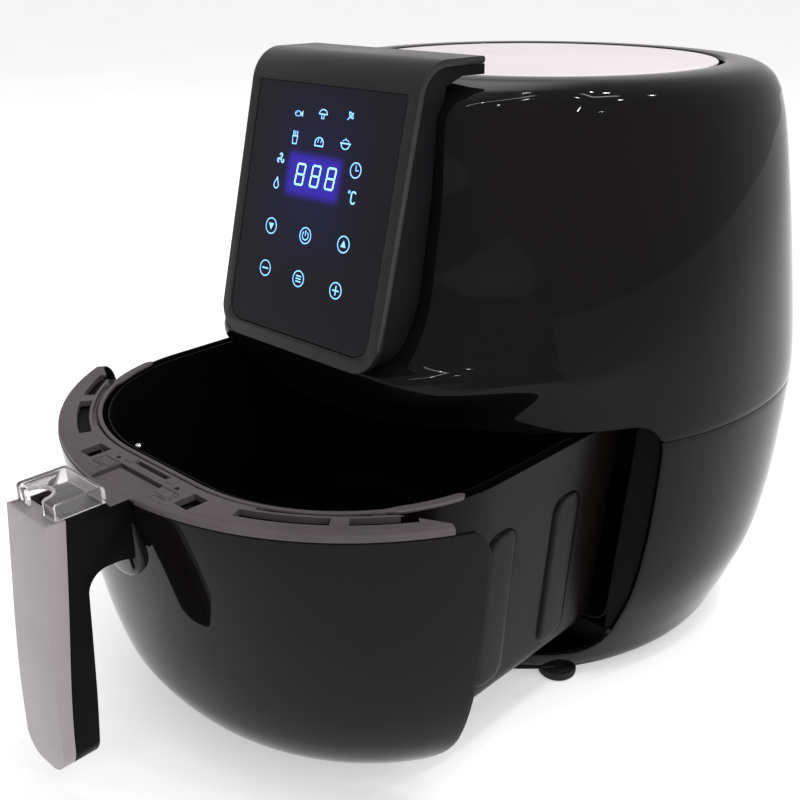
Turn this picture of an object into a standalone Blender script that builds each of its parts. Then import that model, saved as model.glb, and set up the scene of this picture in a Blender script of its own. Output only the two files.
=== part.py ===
"""Air fryer with a pull-out drawer: every piece is its own object, in metres, +Z up.

The outline of the body is a superellipse whose width follows BODY_PROFILE. All sizes are given from
the body's centre line, and the empty "frame" moves the whole object so that the origin lies under the
middle of its outer box. The drawer's pieces are modelled as they sit when the drawer is shut, and the
empty "drawer_slide" then pulls them out.
"""

import math

import bmesh
import bpy
from mathutils import Matrix, Vector

# Driving dimensions
GAP = 0.0004  # between pieces that rest on each other
WALL = 0.0025  # moulded covers
BODY_PROFILE = [  # (height, half of the body's width there, half of its depth)
    (0.0055, 0.1235, 0.1250),
    (0.0100, 0.1268, 0.1280),
    (0.0200, 0.1310, 0.1315),
    (0.0350, 0.1372, 0.1350),
    (0.0600, 0.1455, 0.1415),
    (0.0900, 0.1500, 0.1475),
    (0.1200, 0.1517, 0.1530),
    (0.1500, 0.1520, 0.1580),
    (0.1650, 0.1512, 0.1588),
    (0.2000, 0.1467, 0.1540),
    (0.2500, 0.1390, 0.1460),
    (0.2900, 0.1314, 0.1380),
    (0.3060, 0.1268, 0.1331),
]
SHOULDER = [  # (half width, height) over the rounded top edge and down to the disc's seat
    (0.1232, 0.3118),
    (0.1190, 0.3155),
    (0.1135, 0.3180),
    (0.1060, 0.3190),
    (0.0970, 0.3186),
    (0.0957, 0.3160),
]
DEPTH_RATIO = 1.05  # depth over width at the top and the base
CORNER_POWER = 2.085  # 2 is an ellipse, and more is squarer
AROUND = 48  # points round the body
BASE_Z = 0.0055
SEAM_Z = 0.1524  # between the two housings

DRAWER_OUT = 0.1306  # how far the drawer stands out at rest
OPENING_EDGE_Y = -0.0700  # the drawer opening ends here on each side
OPENING_BOTTOM = 0.0185
OPENING_TOP = 0.1632
OPENING_TOP_RADIUS = 0.016
OPENING_BOTTOM_RADIUS = 0.016
DRAWER_CLEARANCE = 0.0009
RING_TOP = 0.1626
RING_BOTTOM = 0.1597

PAN_HALF = 0.1170
PAN_FRONT = -0.1335
PAN_BACK = 0.1000
PAN_TOP = 0.1612
PAN_BOTTOM = 0.0360
PAN_TAPER = 0.0100  # how much further in the pan's walls are at the bottom
PAN_WALL = 0.0010
PAN_FRONT_RADIUS = 0.092
PAN_REAR_RADIUS = 0.060

HANDLE_HALF = 0.0153
HANDLE_BOTTOM = 0.0440

PANEL_HALF = 0.0546
PANEL_FOOT = Vector((0.0, -0.1860, 0.1957))  # lower edge of the sloping control panel
PANEL_TILT = math.radians(-14.0)
PANEL_TOP = 0.3294
PANEL_BACK_Y = -0.1129  # the panel's cover hooks back over the top to here
BEZEL_THICK = 0.0032
BEND_RADIUS = 0.018

FAN_Y = -0.0120  # the fan's axis is the heating chamber's centre line
DISH_TOP = 0.2135

HANDLE_FRONT_Y = -0.2045 - DRAWER_OUT
BODY_BACK_Y = 0.1588
FRAME_SHIFT = Vector((0.0, -(HANDLE_FRONT_Y + BODY_BACK_Y) / 2, 0.0))


# Scene and materials
for leftover in list(bpy.data.objects):
    bpy.data.objects.remove(leftover)


def make_material(name, colour, roughness, metallic=0.0):
    material = bpy.data.materials.new(name)
    material.use_nodes = True
    shader = material.node_tree.nodes["Principled BSDF"]
    shader.inputs["Base Color"].default_value = (*colour, 1.0)
    shader.inputs["Roughness"].default_value = roughness
    shader.inputs["Metallic"].default_value = metallic
    material.diffuse_color = (*colour, 1.0)
    return material


GLOSS_BLACK = make_material("gloss_black_plastic", (0.012, 0.012, 0.013), 0.08)
MATT_BLACK = make_material("matt_black_plastic", (0.020, 0.020, 0.021), 0.45)
BEZEL_GREY = make_material("satin_bezel", (0.045, 0.040, 0.042), 0.30)
SILVER = make_material("silver_plastic", (0.62, 0.62, 0.63), 0.30, 0.6)
WHITE_SILVER = make_material("top_disc_silver", (0.72, 0.72, 0.73), 0.35, 0.4)
COATED_STEEL = make_material("coated_steel", (0.018, 0.018, 0.018), 0.35, 0.3)
BARE_STEEL = make_material("bare_steel", (0.55, 0.55, 0.55), 0.30, 1.0)
CLEAR = make_material("clear_plastic", (0.90, 0.92, 0.94), 0.05)
GLASS = make_material("display_glass", (0.010, 0.010, 0.014), 0.05)
RUBBER = make_material("rubber", (0.015, 0.015, 0.015), 0.70)
BOARD_GREEN = make_material("circuit_board", (0.02, 0.12, 0.05), 0.50)
COPPER = make_material("motor_windings", (0.45, 0.22, 0.10), 0.40, 1.0)


def make_empty(name, location, parent=None, tilt=0.0):
    empty = bpy.data.objects.new(name, None)
    empty.location = location
    empty.rotation_euler = (tilt, 0.0, 0.0)
    empty.parent = parent
    bpy.context.scene.collection.objects.link(empty)
    return empty


FRAME = make_empty("frame", FRAME_SHIFT)
PANEL = make_empty("panel_plane", PANEL_FOOT, FRAME, PANEL_TILT)
FAN = make_empty("fan_axis", (0.0, FAN_Y, 0.0), FRAME)
DRAWER = make_empty("drawer_slide", (0.0, -DRAWER_OUT, 0.0), FRAME)


# Shape helpers
def place(name, points, faces, material, parent, at=(0.0, 0.0, 0.0)):
    """A mesh object with its faces turned outward, shaded smooth but for its sharp edges."""
    mesh = bpy.data.meshes.new(name)
    mesh.from_pydata([tuple(point) for point in points], [], faces)
    tidy = bmesh.new()
    tidy.from_mesh(mesh)
    bmesh.ops.recalc_face_normals(tidy, faces=tidy.faces)
    tidy.to_mesh(mesh)
    tidy.free()
    mesh.shade_smooth()
    mesh.set_sharp_from_angle(angle=math.radians(35))
    thing = bpy.data.objects.new(name, mesh)
    thing.location = at
    thing.parent = parent
    if material:
        mesh.materials.append(material)
    else:
        thing.hide_render = True
        thing.display_type = "WIRE"
    bpy.context.scene.collection.objects.link(thing)
    return thing


def loft(name, rings, material, parent, ends_meet=False, at=(0.0, 0.0, 0.0)):
    """Joins closed rings of points. The two ends are capped, or joined to each other for a hollow ring."""
    count = len(rings[0])
    points = [point for ring in rings for point in ring]
    faces = []
    for row in range(len(rings) if ends_meet else len(rings) - 1):
        here, above = row * count, (row + 1) % len(rings) * count
        for k in range(count):
            after = (k + 1) % count
            faces.append((here + k, here + after, above + after, above + k))
    if not ends_meet:
        faces.append(tuple(range(count - 1, -1, -1)))
        faces.append(tuple(range(len(points) - count, len(points))))
    return place(name, points, faces, material, parent, at)


def slab(name, outer, inner, material, parent):
    """A plate that follows two grids of points, rows by columns, closed along its four sides."""
    rows, columns = len(outer), len(outer[0])
    points = [point for grid in (outer, inner) for row in grid for point in row]
    back = rows * columns
    faces = []
    for i in range(rows - 1):
        for j in range(columns - 1):
            a = i * columns + j
            faces.append((a, a + 1, a + columns + 1, a + columns))
            faces.append((back + a, back + a + columns, back + a + columns + 1, back + a + 1))
    border = [j for j in range(columns)]
    border += [i * columns + columns - 1 for i in range(1, rows)]
    border += [(rows - 1) * columns + j for j in range(columns - 2, -1, -1)]
    border += [i * columns for i in range(rows - 2, 0, -1)]
    for a, b in zip(border, border[1:] + border[:1]):
        faces.append((a, back + a, back + b, b))
    return place(name, points, faces, material, parent)


def prism(name, outline, axis, start, end, material, parent, at=(0.0, 0.0, 0.0)):
    """Extrudes an outline along an axis. The outline's two numbers are the other axes, in XYZ order."""
    rings = []
    for along in (start, end):
        ring = []
        for u, v in outline:
            ring.append({"X": (along, u, v), "Y": (u, along, v), "Z": (u, v, along)}[axis])
        rings.append(ring)
    return loft(name, rings, material, parent, at=at)


def box(name, low, high, material, parent, at=(0.0, 0.0, 0.0)):
    outline = [(low[0], low[1]), (high[0], low[1]), (high[0], high[1]), (low[0], high[1])]
    return prism(name, outline, "Z", low[2], high[2], material, parent, at)


def boxes(name, corner_pairs, parent, at=(0.0, 0.0, 0.0)):
    """Several boxes in one cutter."""
    points, faces = [], []
    for low, high in corner_pairs:
        first = len(points)
        for z in (low[2], high[2]):
            points += [(low[0], low[1], z), (high[0], low[1], z), (high[0], high[1], z), (low[0], high[1], z)]
        for k in range(4):
            faces.append((first + k, first + (k + 1) % 4, first + 4 + (k + 1) % 4, first + 4 + k))
        faces.append((first + 3, first + 2, first + 1, first))
        faces.append((first + 4, first + 5, first + 6, first + 7))
    return place(name, points, faces, None, parent, at)


def turned(name, profile, material, parent, sides=24, axis="Z", at=(0.0, 0.0, 0.0), hollow=False):
    """Turns a profile of (radius, height along the axis). A hollow profile is a closed loop."""
    rings = []
    for radius, along in profile:
        ring = []
        for k in range(sides):
            turn = math.tau * k / sides
            u, v = radius * math.cos(turn), radius * math.sin(turn)
            ring.append({"X": (along, u, v), "Y": (u, along, v), "Z": (u, v, along)}[axis])
        rings.append(ring)
    return loft(name, rings, material, parent, ends_meet=hollow, at=at)


def rod(name, radius, start, end, material, parent, sides=16, axis="Z", at=(0.0, 0.0, 0.0)):
    return turned(name, [(radius, start), (radius, end)], material, parent, sides, axis, at)


def combine(thing, other, operation):
    """Adds a Boolean that cuts, joins or keeps what is common with a helper."""
    change = thing.modifiers.new(other.name, "BOOLEAN")
    change.operation = operation
    change.object = other


def cut(thing, cutter):
    combine(thing, cutter, "DIFFERENCE")


def soften(thing, width, segments=2, angle=40):
    """Rounds the sharp edges."""
    bevel = thing.modifiers.new("rounded_edges", "BEVEL")
    bevel.width = width
    bevel.segments = segments
    bevel.limit_method = "ANGLE"
    bevel.angle_limit = math.radians(angle)
    bevel.use_clamp_overlap = True


def arc(centre, radius, start, end, steps):
    """Points on an arc, with angles in degrees from the first axis towards the second."""
    turns = [math.radians(start + (end - start) * k / steps) for k in range(steps + 1)]
    return [(centre[0] + radius * math.cos(turn), centre[1] + radius * math.sin(turn)) for turn in turns]


# Outlines. A plan size is a pair: half the width and half the depth.
def follow_profile(z, column):
    """A smooth curve through one column of BODY_PROFILE."""
    table = [(row[0], row[column]) for row in BODY_PROFILE]
    z = min(max(z, table[0][0]), table[-1][0])
    k = max(i for i in range(len(table) - 1) if table[i][0] <= z)

    def slope(i):
        low, high = max(i - 1, 0), min(i + 1, len(table) - 1)
        return (table[high][1] - table[low][1]) / (table[high][0] - table[low][0])

    (z0, w0), (z1, w1) = table[k], table[k + 1]
    span = z1 - z0
    t = (z - z0) / span
    rise = w0 * (2 * t**3 - 3 * t**2 + 1) + w1 * (3 * t**2 - 2 * t**3)
    return rise + span * (slope(k) * (t**3 - 2 * t**2 + t) + slope(k + 1) * (t**3 - t**2))


def body_size(z, inset=0.0):
    return (follow_profile(z, 1) - inset, follow_profile(z, 2) - inset)


def oval(half):
    return (half, half * DEPTH_RATIO)


def plan_point(size, angle, z):
    """A point of the plan outline. Angle 0 faces the front, and positive angles turn towards +X."""
    across, along = math.sin(angle), -math.cos(angle)
    x = math.copysign(abs(across) ** (2 / CORNER_POWER), across) * size[0]
    y = math.copysign(abs(along) ** (2 / CORNER_POWER), along) * size[1]
    return (x, y, z)


def plan_ring(size, z, count=AROUND):
    return [plan_point(size, math.tau * k / count, z) for k in range(count)]


def front_angle(size, y):
    """The angle at which the plan outline's front part reaches y."""
    return math.acos((-y / size[1]) ** (CORNER_POWER / 2))


def back_y(x, size):
    return size[1] * (1 - abs(x / size[0]) ** CORNER_POWER) ** (1 / CORNER_POWER)


def side_x(y, size):
    return size[0] * (1 - abs(y / size[1]) ** CORNER_POWER) ** (1 / CORNER_POWER)


def opening_edge(z, clearance=0.0):
    """How far back the opening reaches at a height: straight, with a rounded corner at each end."""
    top, bottom = OPENING_TOP - clearance, OPENING_BOTTOM + clearance
    for radius, depth in ((OPENING_TOP_RADIUS, top - z), (OPENING_BOTTOM_RADIUS, z - bottom)):
        if depth < radius:
            short = radius - max(depth, 0.0)
            return OPENING_EDGE_Y - clearance - radius + math.sqrt(radius**2 - short**2)
    return OPENING_EDGE_Y - clearance


def tub_ring(offset, z, corner_steps=5):
    """The pan's plan outline, moved out by an offset. Its front corners are rounder than its rear ones."""
    half, front, back = PAN_HALF + offset, PAN_FRONT - offset, PAN_BACK + offset
    front_radius, rear_radius = PAN_FRONT_RADIUS + offset, PAN_REAR_RADIUS + offset
    ring = []
    for sign, radius, y, start in (
        (1, front_radius, front + front_radius, -90),
        (1, rear_radius, back - rear_radius, 0),
        (-1, rear_radius, back - rear_radius, 90),
        (-1, front_radius, front + front_radius, 180),
    ):
        centre = (sign * (half - radius), y)
        ring += [(u, v, z) for u, v in arc(centre, radius, start, start + 90, corner_steps)]
    return ring


def tub_inset(z):
    """How far the pan's wall leans in at a height."""
    return -PAN_TAPER * (PAN_TOP - z) / (PAN_TOP - PAN_BOTTOM)


def tub_shell(name, offset, top, bottom, wall, material, parent):
    """A tub that follows the pan's outline, with rounded lower edges."""
    fillet = 0.012
    rings = []
    for skin in (0.0, wall):
        side = [top, (top + bottom) / 2, bottom + fillet]
        rows = [(offset + tub_inset(z) - skin, z) for z in side]
        corner_offset = offset + tub_inset(bottom + fillet) - skin
        for degrees in (30, 60, 90):
            turn = math.radians(degrees)
            inward = (fillet - skin) * (1 - math.cos(turn))
            rows.append((corner_offset - inward, bottom + fillet - (fillet - skin) * math.sin(turn)))
        skin_rings = [tub_ring(row_offset, z) for row_offset, z in rows]
        rings += skin_rings[::-1] if skin == 0.0 else skin_rings
    return loft(name, rings, material, parent)


# Housings
def make_opening_cutter():
    """The side view of the drawer opening, pushed right through the body."""
    falls = [1 - math.cos(math.radians(90 * k / 6)) for k in range(7)]
    heights = [OPENING_BOTTOM + OPENING_BOTTOM_RADIUS * fall for fall in falls]
    heights += [OPENING_TOP - OPENING_TOP_RADIUS * fall for fall in falls[::-1]]
    outline = [(opening_edge(z), z) for z in heights]
    outline += [(-0.30, OPENING_TOP), (-0.30, OPENING_BOTTOM)]
    return prism("opening_cutter", outline, "X", -0.2, 0.2, None, FRAME)


# The raised front of the upper housing: a chin over the drawer, and above it the wall that the panel's
# block stands on. Each row is (height, y of the front, half of its flat width, width of the fall to the body).
NOSE = [
    (0.1632, -0.1660, 0.0120, 0.0620),
    (0.1690, -0.1665, 0.0240, 0.0600),
    (0.1722, -0.1676, 0.0330, 0.0590),
    (0.1775, -0.1722, 0.0430, 0.0570),
    (0.1855, -0.1778, 0.0535, 0.0550),
    (0.1925, -0.1802, 0.0535, 0.0530),
    (0.1960, -0.1785, 0.0535, 0.0520),
    (0.1985, -0.1720, 0.0535, 0.0510),
    (0.2063, -0.1632, 0.0535, 0.0480),
    (0.2150, -0.1572, 0.0535, 0.0440),
    (0.2254, -0.1530, 0.0535, 0.0400),
    (0.2435, -0.1498, 0.0535, 0.0400),
    (0.2700, -0.1455, 0.0535, 0.0400),
    (0.3040, -0.1424, 0.0535, 0.0400),
    (0.3118, -0.1378, 0.0535, 0.0400),
    (0.3155, -0.1290, 0.0535, 0.0400),
]
NOSE_INSIDE = [  # (height, y), a wall's thickness behind
    (0.1632, -0.1635),
    (0.1722, -0.1650),
    (0.1775, -0.1692),
    (0.1850, -0.1747),
    (0.1912, -0.1774),
    (0.1935, -0.1762),
    (0.1962, -0.1690),
    (0.2045, -0.1600),
    (0.2150, -0.1544),
    (0.2254, -0.1503),
    (0.2435, -0.1471),
    (0.2700, -0.1428),
    (0.3020, -0.1396),
]


def interpolate(table, z, column):
    z = min(max(z, table[0][0]), table[-1][0])
    k = max(i for i in range(len(table) - 1) if table[i][0] <= z)
    share = (z - table[k][0]) / (table[k + 1][0] - table[k][0])
    return table[k][column] + (table[k + 1][column] - table[k][column]) * share


def nose_ring(size, z, inside=False, raised=True):
    """A plan outline of the upper housing, with its front pushed out to the nose's front if it is raised."""
    right = [4.0 * k for k in range(1, 12)] + [44.0 + 7.6 * k for k in range(1, 18)]
    ring = []
    for degrees in [0.0] + right + [180.0] + [-turn for turn in right[::-1]]:
        x, y, _ = plan_point(size, math.radians(degrees), z)
        front = interpolate(NOSE_INSIDE if inside else NOSE, z, 1)
        share = (abs(x) - interpolate(NOSE, z, 2)) / interpolate(NOSE, z, 3)
        if raised and y < 0 and front < y and share < 1:
            share = max(share, 0.0)
            y = front + (y - front) * share * share * (3 - 2 * share)
        ring.append((x, y, z))
    return ring


def make_upper_housing():
    heights = [SEAM_Z + GAP, 0.1600] + [row[0] for row in NOSE if row[0] < 0.305]
    rings = [nose_ring(body_size(z), z) for z in heights + [0.288]]
    rings.sort(key=lambda ring: ring[0][2])
    rings.append(nose_ring(body_size(0.306), 0.306))
    for half, z in SHOULDER:
        rings.append(nose_ring(oval(half), z, raised=half > 0.115))
    inner_heights = [SEAM_Z + GAP] + [row[0] for row in NOSE_INSIDE]
    inner = [nose_ring(body_size(z, WALL), z, inside=True) for z in inner_heights]
    inner += [nose_ring(oval(half), z, raised=False) for half, z in ((0.1165, 0.3110), (0.0950, 0.3135))]
    housing = loft("upper_housing", rings[::-1] + inner, GLOSS_BLACK, FRAME)
    cut(housing, OPENING_CUTTER)
    cut(housing, box("vent_cutter", (-0.0465, 0.10, 0.2135), (0.0465, 0.20, 0.2635), None, FRAME))
    return housing


def make_lower_housing():
    rows = (0.010, 0.0165, 0.026, 0.037, 0.050, 0.065, 0.083, 0.105, 0.130, SEAM_Z)
    outer = [(oval(0.100), BASE_Z), (oval(0.1210), BASE_Z), (oval(0.1238), 0.0066)]
    outer += [(body_size(z), z) for z in rows]
    inner = [(body_size(z, WALL), z) for z in (SEAM_Z, 0.125, 0.095, 0.065, 0.045, 0.030, 0.018, 0.0105)]
    inner += [(oval(0.1200), BASE_Z + WALL), (oval(0.100), BASE_Z + WALL)]
    rings = [plan_ring(size, z) for size, z in outer + inner]
    housing = loft("lower_housing", rings, GLOSS_BLACK, FRAME, ends_meet=True)
    cut(housing, OPENING_CUTTER)
    cut(housing, rod("inlet_hole", 0.0083, 0.10, 0.16, None, FRAME, axis="Y", at=(0.05, 0.0, 0.045)))
    for x, y in SCREW_PLACES:
        hole = rod("flange_screw_hole", 0.0020, 0.0, 0.02, None, FRAME, 8, at=(x, y, 0.0))
        cut(housing, hole)
    return housing


SCREW_PLACES = [(0.1030, 0.018), (-0.1030, 0.018), (0.018, 0.1085), (0.018, -0.1085)]
FOOT_PLACES = {
    "foot_front_right": (0.0925, -0.080),
    "foot_front_left": (-0.0925, -0.080),
    "foot_rear_right": (0.088, 0.090),
    "foot_rear_left": (-0.088, 0.090),
}


def make_base():
    plate = loft("base_plate", [plan_ring(oval(0.1062), z) for z in (0.0038, 0.0050)], MATT_BLACK, FRAME)
    slots = [((x - 0.0025, -0.035, 0.0), (x + 0.0025, 0.035, 0.02)) for x in (-0.045, -0.027, -0.009)]
    slots += [((-high[0], low[1], low[2]), (-low[0], high[1], high[2])) for low, high in slots]
    cut(plate, boxes("base_vent_cutter", slots, FRAME))
    for number, (x, y) in enumerate(SCREW_PLACES, 1):
        cut(plate, rod("plate_screw_hole", 0.0020, 0.0, 0.02, None, FRAME, 8, at=(x, y, 0.0)))
        profile = [(0.0028, 0.0018), (0.0036, 0.0024), (0.0036, 0.0034)]
        profile += [(0.0016, 0.0034), (0.0016, 0.0140)]
        turned(f"base_screw_{number}", profile, BARE_STEEL, FRAME, 12, at=(x, y, 0.0))
    for name, (x, y) in FOOT_PLACES.items():
        profile = [(0.0078, 0.0), (0.0086, 0.0008), (0.0086, BASE_Z - GAP)]
        turned(name, profile, RUBBER, FRAME, 20, at=(x, y, 0.0))


def make_top_disc():
    rows = [(0.0930, 0.3165), (0.0941, 0.3172), (0.0941, 0.3178), (0.0930, 0.3184), (0.0600, 0.3192)]
    return loft("top_disc", [plan_ring(oval(half), z) for half, z in rows], WHITE_SILVER, FRAME)


def make_rear_vent():
    """A curved grille panel that fills the cut-out in the back of the upper housing."""
    columns = [-0.046 + 0.092 * k / 8 for k in range(9)]
    rows = [0.2140, 0.2385, 0.2630]
    skins = []
    for inset in (0.0008, 0.0008 + WALL):
        skins.append([[(x, back_y(x, body_size(z, inset)), z) for x in columns] for z in rows])
    vent = slab("rear_vent", skins[0], skins[1], MATT_BLACK, FRAME)
    slots = [((-0.040, 0.10, 0.2180 + 0.0082 * k), (0.040, 0.20, 0.2222 + 0.0082 * k)) for k in range(5)]
    cut(vent, boxes("vent_slots", slots, FRAME))
    duct_outer = [(-0.043, 0.2165), (0.043, 0.2165), (0.043, 0.2605), (-0.043, 0.2605)]
    rings = []
    for inset, y in ((0.0, 0.085), (0.0, 0.126), (0.0015, 0.126), (0.0015, 0.085)):
        ring = []
        for x, z in duct_outer:
            ring.append((x - math.copysign(inset, x), y, z + (inset if z < 0.23 else -inset)))
        rings.append(ring)
    loft("exhaust_duct", rings, BARE_STEEL, FRAME, ends_meet=True)


def make_cord_inlet():
    profile = [(0.0078, 0.1110), (0.0078, 0.1352), (0.0110, 0.1352), (0.0110, 0.1371), (0.0085, 0.1396)]
    profile += [(0.0040, 0.1396), (0.0040, 0.1110)]
    turned("cord_inlet", profile, MATT_BLACK, FRAME, 16, "Y", (0.05, 0.0, 0.045), hollow=True)


# Control panel
def panel_curve(depth, z_start=0.0, steps=6):
    """The panel cover's side view, a depth below its face, in (y, z): up the slope, then over the top."""
    up = Vector((-math.sin(PANEL_TILT), math.cos(PANEL_TILT)))
    inward = Vector((math.cos(PANEL_TILT), math.sin(PANEL_TILT)))
    foot = Vector((PANEL_FOOT.y, PANEL_FOOT.z))
    length = (PANEL_TOP - PANEL_FOOT.z) / up.y
    turn_degrees = 90 + math.degrees(PANEL_TILT)
    tangent = BEND_RADIUS * math.tan(math.radians(turn_degrees / 2))
    bend_start = foot + up * (length - tangent)
    centre = bend_start + inward * BEND_RADIUS
    first = foot + up * z_start + inward * depth
    start_angle = 180 + math.degrees(PANEL_TILT)
    bend = arc(centre, BEND_RADIUS - depth, start_angle, 90, steps)
    return [tuple(first)] + bend


def rounded_corner_plate(half, low, high, radius, steps=6):
    """A plate's outline with its two lower corners rounded, in (x, z)."""
    right = arc((half - radius, low + radius), radius, -90, 0, steps)
    left = arc((-half + radius, low + radius), radius, 180, 270, steps)
    return left + right + [(half, high), (-half, high)]


def make_control_panel():
    rounding = 0.0016
    tail = PANEL_TOP - BEZEL_THICK / 2
    end = arc((PANEL_BACK_Y - rounding, tail), rounding, 90, -90, 4)
    inner = panel_curve(BEZEL_THICK)
    bezel_side = panel_curve(0.0) + end + inner[::-1]
    bezel = prism("control_bezel", bezel_side, "X", -PANEL_HALF, PANEL_HALF, BEZEL_GREY, FRAME)
    outline = rounded_corner_plate(PANEL_HALF + 0.0001, -0.0001, 0.20, 0.015)
    combine(bezel, prism("bezel_outline", outline, "Y", -0.05, 0.15, None, PANEL), "INTERSECT")
    seat = rounded_corner_plate(0.0486, 0.0070, 0.1205, 0.009)
    cut(bezel, prism("glass_seat", seat, "Y", -0.01, 0.0014, None, PANEL))
    window = [(-0.040, 0.016), (0.040, 0.016), (0.040, 0.112), (-0.040, 0.112)]
    cut(bezel, prism("glass_window", window, "Y", -0.01, 0.01, None, PANEL))
    glass = rounded_corner_plate(0.0483, 0.0073, 0.1202, 0.0087)
    prism("display_glass", glass, "Y", 0.0001, 0.0011, GLASS, PANEL)

    block_side = panel_curve(BEZEL_THICK + GAP, 0.0015) + [(-0.1111, PANEL_TOP - BEZEL_THICK - GAP)]
    block_side += [(-0.1111, 0.3213), (-0.1263, 0.3216), (-0.1370, 0.3180)]
    block_side += [(front - GAP, z + GAP) for z, front, _, _ in NOSE[14:6:-1]]
    block = prism("panel_block", block_side, "X", -0.0530, 0.0530, MATT_BLACK, FRAME)
    outline = rounded_corner_plate(0.0531, 0.0012, 0.20, 0.0135)
    combine(block, prism("block_outline", outline, "Y", -0.05, 0.15, None, PANEL), "INTERSECT")
    pocket = [(-0.0440, 0.0160), (0.0440, 0.0160), (0.0440, 0.1120), (-0.0440, 0.1120)]
    cut(block, prism("board_pocket", pocket, "Y", -0.01, 0.0075, None, PANEL))
    board = [(-0.0435, 0.0165), (0.0435, 0.0165), (0.0435, 0.1115), (-0.0435, 0.1115)]
    prism("display_board", board, "Y", 0.0042, 0.0058, BOARD_GREEN, PANEL)


# Inside the housings
def make_drawer_frame():
    """The upright plate round the drawer opening, with the pan's aperture in it."""
    heights = [0.0165, 0.024, 0.034, 0.048, 0.070, 0.095, 0.120, 0.145, 0.1620]
    y_front, y_back = -0.0660, -0.0640

    edge = [(side_x(y_front, body_size(z, WALL + 0.0008)), z) for z in heights]
    outline = edge + [(-x, z) for x, z in edge[::-1]]
    plate = prism("drawer_frame", outline, "Y", y_front, y_back, MATT_BLACK, FRAME)
    aperture = [(0.1120, 0.0300), (0.1225, 0.1700), (-0.1225, 0.1700), (-0.1120, 0.0300)]
    cut(plate, prism("pan_aperture", aperture, "Y", -0.08, -0.05, None, FRAME))


def make_inner_liner():
    liner = tub_shell("inner_liner", 0.0075, 0.1640, 0.0310, 0.0010, BARE_STEEL, FRAME)
    cut(liner, box("liner_front_cutter", (-0.2, -0.30, 0.0), (0.2, -0.0632, 0.3), None, FRAME))
    hole = rod("plunger_hole", 0.0030, 0.09, 0.13, None, FRAME, 12, "Y", at=(0.0450, 0.0, 0.150))
    cut(liner, hole)
    for side, sign in (("left", -1), ("right", 1)):
        low, high = sorted((sign * 0.1190, sign * 0.1217))
        rail = box(f"guide_rail_{side}", (low, -0.0470, 0.1475), (high, 0.0380, 0.1500), MATT_BLACK, FRAME)
        soften(rail, 0.0006, 1)


def make_microswitch():
    x, z = 0.0450, 0.150
    low, high = (x - 0.010, 0.1095, z - 0.004), (x + 0.010, 0.1215, z + 0.004)
    body = box("microswitch", low, high, MATT_BLACK, FRAME)
    cut(body, rod("switch_bore", 0.0026, 0.10, 0.1170, None, FRAME, 12, "Y", at=(x, 0.0, z)))
    rod("switch_plunger", 0.0021, 0.1008, 0.1130, SILVER, FRAME, 12, "Y", at=(x, 0.0, z))


def make_heater():
    dish = [(0.1120, 0.1662), (0.1120, 0.1674), (0.1012, 0.1674), (0.0995, 0.2050), (0.0900, DISH_TOP)]
    dish += [(0.0060, DISH_TOP), (0.0060, 0.2123), (0.0892, 0.2123), (0.0983, 0.2043), (0.1000, 0.1662)]
    turned("heater_dish", dish, BARE_STEEL, FAN, 28, hollow=True)

    turns, steps = 2.5, 45
    curve = bpy.data.curves.new("heating_coil", "CURVE")
    curve.dimensions = "3D"
    curve.bevel_depth = 0.0032
    curve.bevel_resolution = 1
    curve.use_fill_caps = True
    spline = curve.splines.new("POLY")
    spline.points.add(steps + 2)
    route = []
    for k in range(steps + 1):
        turn = math.tau * turns * k / steps
        radius = 0.056 + 0.034 * k / steps
        route.append((radius * math.cos(turn), radius * math.sin(turn), 0.182))
    route = [(route[0][0], route[0][1], 0.208)] + route + [(route[-1][0], route[-1][1], 0.208)]
    for point, (x, y, z) in zip(spline.points, route):
        point.co = (x, y, z, 1.0)
    curve.materials.append(BARE_STEEL)
    coil = bpy.data.objects.new("heating_coil", curve)
    coil.parent = FAN
    bpy.context.scene.collection.objects.link(coil)

    for number, degrees in enumerate((60, 150, 270), 1):
        low, high = (0.0520, -0.0035, 0.1858), (0.0972, 0.0035, 0.1868)
        clip = box(f"coil_clip_{number}", low, high, BARE_STEEL, FAN)
        clip.rotation_euler = (0.0, 0.0, math.radians(degrees))
    rod("temperature_sensor", 0.0020, 0.1900, 0.2119, BARE_STEEL, FAN, 10, at=(0.0, -0.0660, 0.0))
    rod("thermal_fuse", 0.0035, -0.009, 0.009, SILVER, FAN, 12, "X", at=(0.0, -0.0650, 0.2175))


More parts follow.
